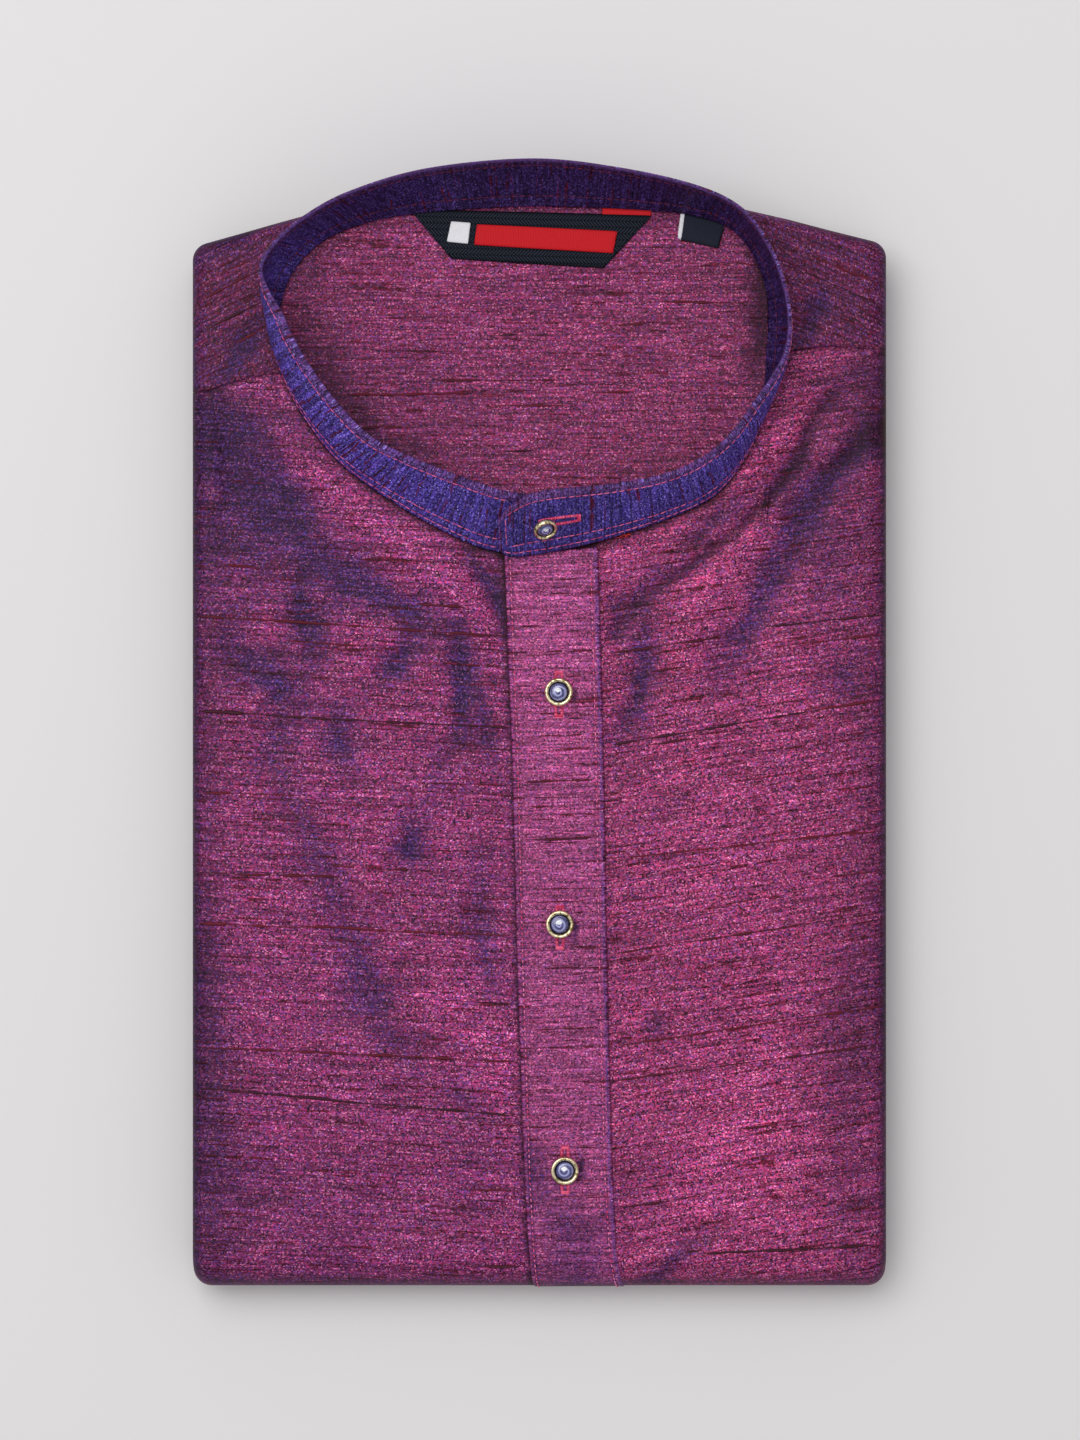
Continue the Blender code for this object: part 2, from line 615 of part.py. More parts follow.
def build_folded_layers(collection, cutters):
    """The hidden layers as one solid: four slabs with rounded folds, and a recess under the neck."""
    body = None
    for name, layer in (("upper", UPPER), ("filling", FILLING), ("middle", MIDDLE), ("lowest", LOWEST)):
        rows = slab_rows(layer, layer_corners(layer))
        mesh = mesh_from_rows(name, rows, close_rows=True, caps=True)
        if body is None:
            body = add_object("folded_layers", mesh, SILK, collection)
            continue
        slab = add_object(f"layer_{name}", mesh, SILK, cutters)
        joined = body.modifiers.new(name, "BOOLEAN")
        joined.operation = "UNION"
        joined.object = slab
    stations = [blend(*NECK_STATIONS, i / 40) for i in range(41)]
    outline = [NECK_MIDDLE + (neck_edge(place) - NECK_MIDDLE) * RECESS_GROWTH for place in stations]
    rows = [[Vector((p.x, p.y, z)) for p in outline] for z in (RECESS_FLOOR, TOP)]
    mesh = mesh_from_rows("recess", rows, close_rows=True, caps=True)
    recess = add_object("neck_recess", mesh, SILK, cutters)
    cut = body.modifiers.new("Neck recess", "BOOLEAN")
    cut.operation = "DIFFERENCE"
    cut.object = recess
    for helper in cutters.objects:
        helper.hide_render = True
        helper.display_type = "WIRE"


def main():
    clear_scene()
    scene = bpy.context.scene
    collection = bpy.data.collections.new("Kurta tunic")
    cutters = bpy.data.collections.new("Cutters")
    scene.collection.children.link(collection)
    scene.collection.children.link(cutters)
    build_folded_layers(collection, cutters)
    build_fronts(collection)
    build_yoke(collection)
    build_inner_back(collection)
    build_collar(collection)
    build_placket(collection)
    build_labels(collection)
    build_buttons(collection)


main()
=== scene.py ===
"""Kurta tunic in shot dupion silk, buttoned and folded flat: the cloth, stitches and finishes that dress
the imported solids. Tables are in millimetres, in the frame of the solids. Left and right are the wearer's,
apart from the placket's two edges, which are named as the viewer sees them.
"""

import math
from collections import namedtuple

import bpy
import numpy as np
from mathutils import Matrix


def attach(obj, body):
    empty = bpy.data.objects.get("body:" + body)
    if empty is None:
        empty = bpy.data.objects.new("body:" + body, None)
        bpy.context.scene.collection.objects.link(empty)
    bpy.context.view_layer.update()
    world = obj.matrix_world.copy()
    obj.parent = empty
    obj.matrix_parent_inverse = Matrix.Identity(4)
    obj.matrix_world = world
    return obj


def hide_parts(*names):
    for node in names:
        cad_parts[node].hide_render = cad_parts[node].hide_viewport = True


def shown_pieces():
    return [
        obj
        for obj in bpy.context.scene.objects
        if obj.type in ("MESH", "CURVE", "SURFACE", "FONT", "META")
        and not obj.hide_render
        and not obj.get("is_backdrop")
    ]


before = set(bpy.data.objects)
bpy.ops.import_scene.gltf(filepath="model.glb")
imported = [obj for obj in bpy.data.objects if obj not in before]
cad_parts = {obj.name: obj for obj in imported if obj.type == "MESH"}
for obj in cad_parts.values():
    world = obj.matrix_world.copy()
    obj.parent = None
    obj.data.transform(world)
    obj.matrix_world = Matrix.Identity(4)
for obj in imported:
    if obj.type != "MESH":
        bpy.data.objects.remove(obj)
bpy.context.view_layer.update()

# Camera, floor and light
# The packet lies on a plain pale table top and is seen from straight above, 1.6 m over its upper side.
# A broad soft light stands above the collar to the wearer's right, and pale walls light the rest.
CAMERA_PLACE = (0.0002, 0.00306, 1.626)
CAMERA_LENS = 111.1
TABLE_TOP = (0.80, 0.785, 0.785)
WALLS = (0.975, 0.97, 0.985)
WALL_LIGHT = 0.52
KEY_PLACE = (-0.5, 0.6, 1.9)
KEY_SIZE = 1.5
KEY_POWER = 22.6
FLOOR_REACH = 6.0

scene = bpy.context.scene
scene.view_settings.view_transform = "Standard"
camera_data = bpy.data.cameras.new("camera")
camera_data.lens = CAMERA_LENS
camera_data.sensor_width = 36.0
camera_data.clip_start = 0.05
camera = bpy.data.objects.new("camera", camera_data)
camera.location = CAMERA_PLACE
scene.collection.objects.link(camera)
scene.camera = camera

world = bpy.data.worlds.new("pale_room")
world.use_nodes = True
world.node_tree.nodes["Background"].inputs["Color"].default_value = (*WALLS, 1.0)
world.node_tree.nodes["Background"].inputs["Strength"].default_value = WALL_LIGHT
scene.world = world

key_data = bpy.data.lights.new("soft_window", "AREA")
key_data.size = KEY_SIZE
key_data.energy = KEY_POWER
key = bpy.data.objects.new("soft_window", key_data)
key.location = KEY_PLACE
key.rotation_euler = key.location.to_track_quat("Z", "Y").to_euler()
key.visible_camera = False
scene.collection.objects.link(key)


def new_material(name, finish):
    """A material with its node tree and its shader, whose plain values are those of finish."""
    material = bpy.data.materials.new(name)
    material.use_nodes = True
    shader = material.node_tree.nodes["Principled BSDF"]
    for socket, value in finish.items():
        shader.inputs[socket].default_value = value
    return material, material.node_tree, shader


floor_mesh = bpy.data.meshes.new("table_top")
floor_corners = [(x * FLOOR_REACH, y * FLOOR_REACH, 0.0) for x, y in ((-1, -1), (1, -1), (1, 1), (-1, 1))]
floor_mesh.from_pydata(floor_corners, [], [(0, 1, 2, 3)])
floor_finish = {"Base Color": (*TABLE_TOP, 1.0), "Roughness": 0.9, "Specular IOR Level": 0.1}
floor_mesh.materials.append(new_material("table_top", floor_finish)[0])
floor = bpy.data.objects.new("table_top", floor_mesh)
scene.collection.objects.link(floor)
floor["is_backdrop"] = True

# The two fronts
# Each front is one panel of shot silk: a magenta weft over a blue warp, hand-spun, so that thick slubs of
# weft run across it. It is sewn to the yoke and the collar band, hangs over the side fold and rolls under
# the bottom fold. Its creases are pressed in by folding. The silk's turn to indigo where it dips or rolls
# away is painted into its colour as shade, with painted shadows in its creases, beside the placket and under
# the band, and painted highlights on its ridges.
MM = 0.001
PACKET_HALF = 125.3
SIDE_FOLD = 6.5
SIDE_LINE = PACKET_HALF - SIDE_FOLD
TOP = 26.0
END_FOLD = TOP / 2
PACKET_END = -202.0
END_AXIS = PACKET_END + END_FOLD
CLOTH = 1.0
GAP = 0.3
SIDE_TURNS = np.radians(np.linspace(12, 150, 14))
END_TURNS = np.radians(np.linspace(9, 165, 20))

# Round the neck from the end under the tab to the tab's tip: seam line, top edge, rise of the edge, outward
# bow of the band, lift over the end, and the painted shade of its outside and inside, where the shot silk
# looks dark as the light falls on it
Station = namedtuple("Station", "seam_x seam_y edge_x edge_y rise bow lift outside inside")
COLLAR = (
    Station(11.4, 66.0, 12.0, 83.0, 6.5, 0.0, 0.0, 0.6, 0.7),
    Station(-14.5, 64.2, -10.1, 83.9, 9.2, 0.0, 0.0, 0.55, 0.7),
    Station(-36.1, 72.5, -28.3, 89.5, 12.0, 0.5, 0.0, 0.3, 0.7),
    Station(-57.7, 85.5, -47.1, 96.8, 15.5, 1.0, 0.0, 0.1, 0.7),
    Station(-72.1, 96.7, -60.6, 103.8, 17.5, 1.5, 0.0, 0.0, 0.7),
    Station(-82.2, 109.3, -71.9, 115.1, 19.0, 2.0, 0.0, 0.0, 0.6),
    Station(-89.7, 122.2, -81.5, 127.8, 20.2, 2.5, 0.0, 0.1, 0.6),
    Station(-93.7, 135.2, -88.2, 139.1, 21.5, 3.5, 0.0, 0.2, 0.55),
    Station(-94.4, 146.0, -91.7, 147.2, 22.2, 4.0, 0.0, 0.4, 0.5),
    Station(-93.3, 154.6, -96.6, 155.7, 22.0, 3.5, 0.0, 0.5, 0.4),
    Station(-90.0, 163.3, -98.9, 163.6, 21.0, 2.5, 0.0, 0.5, 0.35),
    Station(-84.0, 171.2, -94.6, 172.0, 20.2, 1.5, 0.0, 0.5, 0.4),
    Station(-75.0, 177.8, -84.3, 181.1, 20.4, 1.0, 0.0, 0.5, 0.6),
    Station(-59.5, 183.4, -67.7, 190.4, 19.6, 1.0, 0.0, 0.4, 0.8),
    Station(-36.1, 186.8, -39.9, 198.8, 18.4, 1.0, 0.0, 0.4, 0.9),
    Station(-2.2, 188.5, -2.2, 202.4, 17.6, 1.0, 0.0, 0.4, 0.95),
    Station(28.7, 187.7, 29.8, 198.6, 19.7, 1.0, 0.2, 0.4, 1.0),
    Station(53.9, 185.5, 56.5, 192.0, 21.4, 1.0, 0.7, 0.4, 1.0),
    Station(69.5, 180.0, 71.8, 184.1, 22.1, 1.0, 0.6, 0.3, 1.0),
    Station(78.0, 169.7, 81.0, 172.0, 22.2, 1.5, 0.2, 0.2, 1.0),
    Station(82.3, 157.5, 86.5, 158.5, 22.0, 2.0, 0.0, 0.1, 1.0),
    Station(83.1, 146.7, 88.7, 145.5, 21.7, 2.5, 0.0, 0.1, 1.0),
    Station(82.4, 135.2, 87.6, 134.4, 21.8, 3.0, 0.0, 0.1, 0.95),
    Station(81.6, 123.7, 83.3, 125.5, 22.2, 3.0, 0.0, 0.1, 0.85),
    Station(78.6, 109.3, 77.0, 116.4, 20.8, 2.0, 0.0, 0.05, 0.8),
    Station(72.3, 95.6, 68.5, 104.7, 19.0, 1.5, 0.0, 0.1, 0.7),
    Station(62.2, 83.9, 57.6, 95.9, 17.0, 1.0, 0.0, 0.3, 0.7),
    Station(46.0, 76.0, 43.3, 89.9, 14.5, 0.7, 0.3, 0.45, 0.7),
    Station(25.1, 68.9, 24.2, 86.5, 12.0, 0.3, 2.0, 0.55, 0.7),
    Station(5.3, 64.2, 5.6, 84.8, 10.0, 0.0, 2.9, 0.65, 0.7),
    Station(-3.7, 62.8, -3.5, 83.0, 9.2, 0.0, 2.9, 0.65, 0.7),
    Station(-10.3, 62.3, -10.9, 78.7, 7.6, 0.0, 2.9, 0.7, 0.7),
    Station(-14.0, 64.2, -14.4, 74.2, 4.8, 0.0, 2.9, 0.75, 0.7),
)
NECK_STATIONS = (1.0, 29.9)
NECK_STEP = 0.5

YokeSeam = namedtuple("YokeSeam", "neck_x neck_y side_y bow from_station to_station")
RIGHT_SEAM = YokeSeam(-92.4, 128.0, 121.4, 1.0, 1.0, 6.5)
LEFT_SEAM = YokeSeam(83.0, 133.6, 136.6, 2.0, 22.1, 31.0)

PlacketRow = namedtuple("PlacketRow", "y left right")
PLACKET = (
    PlacketRow(-236.0, 2.0, 34.0),
    PlacketRow(-206.0, -1.7, 30.2),
    PlacketRow(-188.0, -3.4, 27.4),
    PlacketRow(-160.0, -4.8, 25.7),
    PlacketRow(-90.9, -7.1, 23.9),
    PlacketRow(-11.7, -9.1, 22.6),
    PlacketRow(66.0, -12.1, 20.5),
)

# Creases: points along each, half width, height, painted shade as the silk turns indigo (below nothing a
# painted highlight), and painted shadow
Fold = namedtuple("Fold", "line width height shade dusk")
# Folds of no height only paint shade, shadow or highlight on the level cloth
RIGHT_FOLDS = (
    Fold(((-132, 122), (-115, 100), (-100, 82)), 16, -1.1, 0.92, 0.2),
    Fold(((-112, 92), (-95, 75), (-84, 64), (-70, 57)), 11, -0.9, 0.85, 0.1),
    Fold(((-78, 60), (-63, 51), (-50, 43), (-36, 38)), 7.5, -0.8, 0.9, 0.0),
    Fold(((-104, 121), (-78, 88), (-54, 69), (-27, 50), (-16, 38)), 5.5, 0.9, -0.35, 0),
    Fold(((-87, 51), (-84, 39), (-80, 27)), 7, -0.9, 1.0, 0.15),
    Fold(((-126, 86), (-114, 66), (-100, 54)), 12, 0, 0.5, 0),
    Fold(((-98, 42), (-98, 35)), 5, 0.4, -0.3, 0),
    Fold(((-113, 30), (-96, 18), (-90, 8)), 8.5, -0.7, 0.88, 0.1),
    Fold(((-92, 4), (-95, -10)), 6, -0.5, 0.5, 0),
    Fold(((-97, -10), (-86, -32), (-76, -54), (-70, -72)), 8, -0.5, 0.58, 0.0),
    Fold(((-68, -76), (-63, -92), (-56, -108)), 10.5, -0.8, 0.74, 0),
    Fold(((-52, -110), (-46, -120)), 6, -0.4, 0.4, 0),
    Fold(((-34, -128), (-22, -137)), 5, -0.4, 0.45, 0),
    Fold(((-45, 30), (-52, 23), (-56, 19)), 5.5, -0.8, 1.0, 0.1),
    Fold(((-29, 38), (-28, 16), (-28, -4)), 4.8, -0.8, 1.0, 0.1),
    Fold(((-24, 18), (-19, 2), (-17, -12)), 4, -0.5, 0.7, 0),
    Fold(((-34, -8), (-37, -22)), 5, -0.3, 0.45, 0),
    Fold(((-26, 64), (-17, 50), (-13, 36)), 3.4, -0.7, 0.9, 0.2),
    Fold(((-70, 6), (-73, -2), (-69, -14)), 6.5, -0.6, 0.82, 0.05),
    Fold(((-45, -33), (-46, -41), (-50, -49)), 6.5, -0.7, 0.9, 0),
    Fold(((-20, -44), (-22, -70), (-19, -86), (-15, -96)), 6, -0.8, 0.6, 0),
    Fold(((-61, -36), (-61, -58)), 9, 0.3, -0.15, 0),
    Fold(((-26, -140), (-24, -168)), 14, 0, 0.25, 0),
    Fold(((-114, -160), (-88, -164), (-50, -182)), 38, 0, 0.34, 0),
    Fold(((-126, 115), (-124, 40), (-125, -60), (-124, -190)), 11, 0, 0.48, 0.4),
    Fold(((-122, 112), (-104, 109), (-86, 108)), 8, 0, 0.75, 0.12),
    Fold(((-102, 100), (-94, 88), (-82, 74)), 6.5, 0, 0.7, 0.08),
    Fold(((-114, 44), (-106, 40), (-98, 50)), 7.5, 0, 0.42, 0.05),
    Fold(((-86, 24), (-84, 11)), 5.5, 0, 0.42, 0),
    Fold(((-14, -112), (-28, -104), (-40, -94)), 10, 0, -0.36, 0),
    Fold(((-14, -112), (-14, -132)), 7, 0, -0.3, 0),
    Fold(((-122, -66), (-121, -108)), 7, 0, 0.3, 0.12),
    Fold(((-38, -22), (-24, -22)), 5.5, 0, 0.26, 0),
    Fold(((-84, -140), (-66, -150), (-50, -146)), 14, 0, -0.22, 0),
    Fold(((-124, -70), (-120, -130), (-120, -190)), 14, 0, 0.42, 0.12),
)
LEFT_FOLDS = (
    Fold(((130, 112), (116, 102), (103, 90), (94, 77)), 5, -1.2, 1.0, 0.35),
    Fold(((104, 90), (96, 78), (86, 60), (76, 38), (62, 19)), 8.5, -1.0, 0.8, 0.03),
    Fold(((96, 116), (72, 90), (46, 67)), 4, 0.7, -0.35, 0),
    Fold(((80, 72), (66, 60), (56, 46)), 5.5, 0.6, -0.3, 0),
    Fold(
        ((106, 121), (97, 109), (93, 96), (84, 84), (72, 72), (54, 58), (36, 46), (27, 34)),
        2.4, -0.9, 0.5, 0.7,
    ),
    Fold(((99, 106), (91, 94), (82, 84)), 4.5, -0.5, 0.5, 0.15),
    Fold(((126, 132), (110, 124), (101, 112)), 9, -0.3, 0.45, 0.3),
    Fold(((128, 125), (124, 110)), 7, -0.4, 0.95, 0.4),
    Fold(((68, 84), (60, 75), (55, 68)), 3.5, -0.5, 0.5, 0.3),
    Fold(((58, 60), (42, 56), (30, 46)), 4.5, -0.4, 0.5, 0),
    Fold(((38, 42), (38, 24), (35, 8), (30, -3)), 6.2, -0.7, 0.8, 0.05),
    Fold(((27, 50), (28, 34)), 4, -0.4, 0.5, 0),
    Fold(((106, 62), (104, 52)), 6, -0.3, 0.45, 0),
    Fold(((104, 20), (114, 15)), 8, -0.5, 0.55, 0),
    Fold(((43, -102), (42, -110)), 3.5, -0.2, 0.7, 0.1),
    Fold(((52, -114), (44, -138)), 6, -0.4, 0.15, 0),
    Fold(((66, -178), (54, -186), (40, -200)), 4.5, -0.8, 0.82, 0.08),
    Fold(((40, -150), (32, -176)), 8, -0.3, 0.3, 0),
    Fold(((112, 85), (104, 62), (98, 40)), 10, 0, 0.28, 0),
    Fold(((62, -138), (82, -150), (66, -172)), 24, 0.2, -0.40, 0),
    Fold(((58, -24), (66, -58)), 18, 0.2, -0.16, 0),
    Fold(((126, 130), (125, 60), (124, -40), (123, -110), (125, -190)), 14, 0, 0.40, 0.42),
    Fold(((112, -88), (108, -130), (108, -165), (110, -195)), 9, 0, 0.3, 0.1),
    Fold(((110, 56), (109, 24), (110, 0)), 7, 0, 0.12, 0.14),
    Fold(((124, 116), (112, 104), (108, 96)), 7, 0, 0.18, 0.28),
    Fold(((76, 84), (64, 76), (54, 68)), 5, 0, 0.6, 0.1),
    Fold(((63, -162), (58, -180)), 8, 0, -0.26, 0),
    Fold(((48, -20), (48, -36)), 6, 0, 0.24, 0),
    Fold(((46, 42), (50, 26), (56, 10)), 6, 0, -0.22, 0),
)
RELIEF_RANGE = (-1.3, 1.2)
RELIEF_FADE = 7.0
WAVES = 18

# Each front's yoke seam and creases, the slant of its weft in degrees, and the seed of its unevenness
Front = namedtuple("Front", "seam folds weft seed")
RIGHT_FRONT = Front(RIGHT_SEAM, RIGHT_FOLDS, -3.0, 3)
LEFT_FRONT = Front(LEFT_SEAM, LEFT_FOLDS, 8.6, 4)
FRONT_ROWS = 250
FRONT_COLUMNS = 96
# Widths of the painted shadows beside the placket, under the collar band and below the yoke seam
PLACKET_SHADOW = 1.3
BAND_SHADOW = 2.4
SEAM_SHADOW = 1.3
PRESSED_IN = 0.6
PRESSED_LENGTH = 14.0

# Slubs: thick places of the weft, from one end to the other, with the half width
Slub = namedtuple("Slub", "x0 y0 x1 y1 radius")
FRONT_SLUBS = (
    Slub(-123.5, 40.5, -11.2, 33.3, 0.32),
    Slub(-123.5, 6.3, -9.4, 0.2, 0.3),
    Slub(-123.5, -70, -8, -74.7, 0.3),
    Slub(-123.3, -114.7, -6.6, -120.1, 0.24),
    Slub(-123.3, -129.4, -5.8, -139.9, 0.26),
    Slub(-120.7, -52, -71, -53.5, 0.24),
    Slub(-123.5, -22.9, -83.6, -24.3, 0.24),
    Slub(-46.9, 45.2, -25.3, 43.4, 0.24),
    Slub(-90.1, 31.5, -50.5, 28.6, 0.2),
    Slub(-63.1, 2, -41.5, 0.2, 0.3),
    Slub(-118.9, 59.2, -100.9, 58.1, 0.2),
    Slub(23.4, 26.5, 69.4, 33.7, 0.24),
    Slub(24.0, -6.3, 97.8, 6.3, 0.3),
    Slub(97.8, 6.3, 123.5, 10.6, 0.26),
    Slub(25.4, -81.5, 123.5, -66.4, 0.24),
    Slub(27.0, -114.3, 123.5, -99.9, 0.24),
    Slub(27.4, -126.9, 123.5, -113.2, 0.2),
    Slub(82, 29, 123.5, 34, 0.24),
    Slub(80.2, 36.5, 123.5, 40.9, 0.26),
    Slub(30.5, -46.6, 123.5, -36.9, 0.24),
    Slub(58.2, -189.2, 122.0, -185.9, 0.3),
    Slub(35.9, -6.3, 57.5, -3.4, 0.2),
    Slub(37.7, 20, 53.9, 22.5, 0.2),
    Slub(28.2, -172.5, 47.0, -170.3, 0.26),
    Slub(47.0, -170.2, 60.0, -167.2, 0.16),
    Slub(-27.0, -166.0, -6.5, -166.4, 0.16),
    Slub(-25.0, -193.5, -5.0, -193.8, 0.2),
    Slub(-14.0, -145.2, -6.0, -145.6, 0.2),
    Slub(50.3, -188.8, 59.3, -187.7, 0.26),
    Slub(70.1, -144.5, 84.5, -142.7, 0.3),
)
SLUB_STEP = 1.2
SLUB_SIDES = 6
SLUB_SWELL = 1.4
SLUB_SINK = 0.35

# The silk's colours. The fronts, yoke, placket and back take lighter and darker copies of one magenta as
# painted light, each piece catching the light differently. SILK_TURNED is the indigo of the shot silk seen
# aslant, painted in as shade; GLINT paints glints on single threads, and PAINTED_SHADOW_RED is the colour of
# painted shadow.
SILK_LIT = (0.275, 0.028, 0.114)
LEFT_LIT = (0.330, 0.034, 0.116)
SILK_TURNED = (0.026, 0.007, 0.060)
SILK_EDGE = (0.15, 0.06, 0.22)
SLUB_RED = (0.085, 0.003, 0.010)
PAINTED_SHADOW_RED = (0.026, 0.003, 0.010)
WARP_BLUE = (0.065, 0.040, 0.220)
GLINT = (0.78, 0.27, 0.44)
SILK_FINISH = {"Specular IOR Level": 0.12}
SILK_BUMP = (0.5, 0.00016)


def blend(first, second, share):
    return first + (second - first) * share


def smooth_step(value):
    value = np.clip(value, 0.0, 1.0)
    return value * value * (3 - 2 * value)


def close_to(distance, width):
    """1 where the distance is nothing, fading out beyond the width."""
    return np.exp(-((distance / width) ** 2))


def unit(vectors):
    return vectors / np.linalg.norm(vectors, axis=-1, keepdims=True)


def along_table(table, places):
    """Rows of a table at places counted in rows, on a smooth curve through them, as an array."""
    values = np.array(table, float)
    last = len(values) - 1
    places = np.clip(np.asarray(places, float), 0, last)
    start = np.minimum(places.astype(int), last - 1)
    t = (places - start)[..., None]
    a, b, c, d = (values[np.clip(start + step, 0, last)] for step in (-1, 0, 1, 2))
    return b + 0.5 * t * (c - a + t * (2 * a - 5 * b + 4 * c - d + t * (3 * (b - c) + d - a)))


def neck_edge(places, step=NECK_STEP):
    """The collar's seam line moved outwards in plan, where fronts and yoke stop."""
    along = along_table(COLLAR, places + 0.05)[..., :2] - along_table(COLLAR, places - 0.05)[..., :2]
    out = np.stack([-along[..., 1], along[..., 0]], -1)
    return along_table(COLLAR, places)[..., :2] + unit(out) * step


def placket_edges(y):
    rows = np.array(PLACKET)
    return np.interp(y, rows[:, 0], rows[:, 1]), np.interp(y, rows[:, 0], rows[:, 2])


def placket_middle(y):
    left, right = placket_edges(y)
    return (left + right) / 2


def seam_height(seam, x):
    share = np.clip((x - seam.neck_x) / (math.copysign(SIDE_LINE, seam.neck_x) - seam.neck_x), 0.0, 1.0)
    return blend(seam.neck_y, seam.side_y, share) + seam.bow * 4 * share * (1 - share)


def front_top(seam, x):
    """The upper end of a front at each x: the yoke seam, or the collar's seam line."""
    edge = neck_edge(np.linspace(seam.from_station, seam.to_station, 200))
    edge = edge[np.argsort(edge[:, 0])]
    neck = np.interp(x, edge[:, 0], edge[:, 1])
    return np.where(np.abs(x) >= abs(seam.neck_x), seam_height(seam, x) - GAP / 2, neck)


def distance_to_line(x, y, line):
    """Distance from each place to a line through points, and the share of the line at the nearest one."""
    best = np.full(np.shape(x), np.inf)
    nearest = np.zeros(np.shape(x))
    for number, ((x0, y0), (x1, y1)) in enumerate(zip(line, line[1:])):
        dx, dy = x1 - x0, y1 - y0
        t = np.clip(((x - x0) * dx + (y - y0) * dy) / (dx * dx + dy * dy), 0.0, 1.0)
        away = np.hypot(x - x0 - t * dx, y - y0 - t * dy)
        nearest = np.where(away < best, (number + t) / (len(line) - 1), nearest)
        best = np.minimum(best, away)
    return best, nearest


def fold_masks(x, y, folds):
    """Height, painted shade and painted shadow of the creases at each place, which fade and waver along
    them. Negative shade is a painted highlight that cuts the shade.
    """
    height, shade, dusk, painted_highlight = np.zeros((4, *np.shape(x)))
    for fold in folds:
        away, share = distance_to_line(x, y, fold.line)
        waver = 1 + 0.22 * np.sin(share * 9.0 + fold.width * 5.0)
        waver = waver + 0.12 * np.sin(share * 21.0 + fold.line[0][1])
        ends = 0.6 + 0.4 * smooth_step(np.minimum(share, 1 - share) / 0.3)
        near = close_to(away, fold.width * waver) * ends
        height += fold.height * near
        shade = 1 - (1 - shade) * (1 - max(fold.shade, 0.0) * near)
        painted_highlight += max(-fold.shade, 0.0) * near
        dusk += fold.dusk * near
    return np.clip(height, *RELIEF_RANGE), shade * (1 - 0.6 * np.minimum(painted_highlight, 1)) - painted_highlight, dusk


def soft_waves(x, y, seed, height, shortest=16.0, longest=60.0):
    """Gentle unevenness of laid cloth, as a sum of waves in all directions."""
    draw = np.random.default_rng(seed)
    total = np.zeros(np.shape(x))
    for length, turn, phase in zip(
        draw.uniform(shortest, longest, WAVES),
        draw.uniform(0, math.tau, WAVES),
        draw.uniform(0, math.tau, WAVES),
    ):
        total += np.sin((x * math.cos(turn) + y * math.sin(turn)) / length * math.tau + phase) * length
    return total / (longest * math.sqrt(WAVES / 2)) * height


def surface_normals(points):
    """Directions square to a grid of points, up where the cloth lies level."""
    normal = np.cross(np.gradient(points, axis=1), np.gradient(points, axis=0))
    size = np.linalg.norm(normal, axis=-1, keepdims=True)
    normal = np.where(size > 1e-9, normal / np.maximum(size, 1e-9), (0.0, 0.0, 1.0))
    return -normal if normal[5, 5, 2] < 0 else normal


def rolled_away(normals):
    """How far the cloth has rolled away from level."""
    return smooth_step((0.985 - normals[..., 2]) / 0.5)


def carried_over(values, wrap):
    """A mask of the upper side, with its last column carried over the fold beside it."""
    return np.concatenate([values, 0 * wrap + values[:, -1:]], 1)


def set_attribute(mesh, name, values):
    kind, field = ("FLOAT_VECTOR", "vector") if np.ndim(values) == 2 else ("FLOAT", "value")
    attribute = mesh.attributes.new(name, kind, "POINT")
    attribute.data.foreach_set(field, np.asarray(values, np.float32).ravel())


def solid_mesh(name, points, faces, masks, material):
    """A mesh object from points in millimetres, with its faces turned outwards."""
    corners = np.array([face[:3] for face in faces])
    a, b, c = (points[corners[:, i]] for i in range(3))
    if np.einsum("ij,ij->", a, np.cross(b, c)) < 0:
        faces = [face[::-1] for face in faces]
    mesh = bpy.data.meshes.new(name)
    mesh.from_pydata((points * MM).tolist(), [], faces)
    for mask, values in masks.items():
        set_attribute(mesh, mask, values)
    mesh.shade_smooth()
    mesh.materials.append(material)
    piece = bpy.data.objects.new(name, mesh)
    scene.collection.objects.link(piece)
    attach(piece, "root")
    return piece


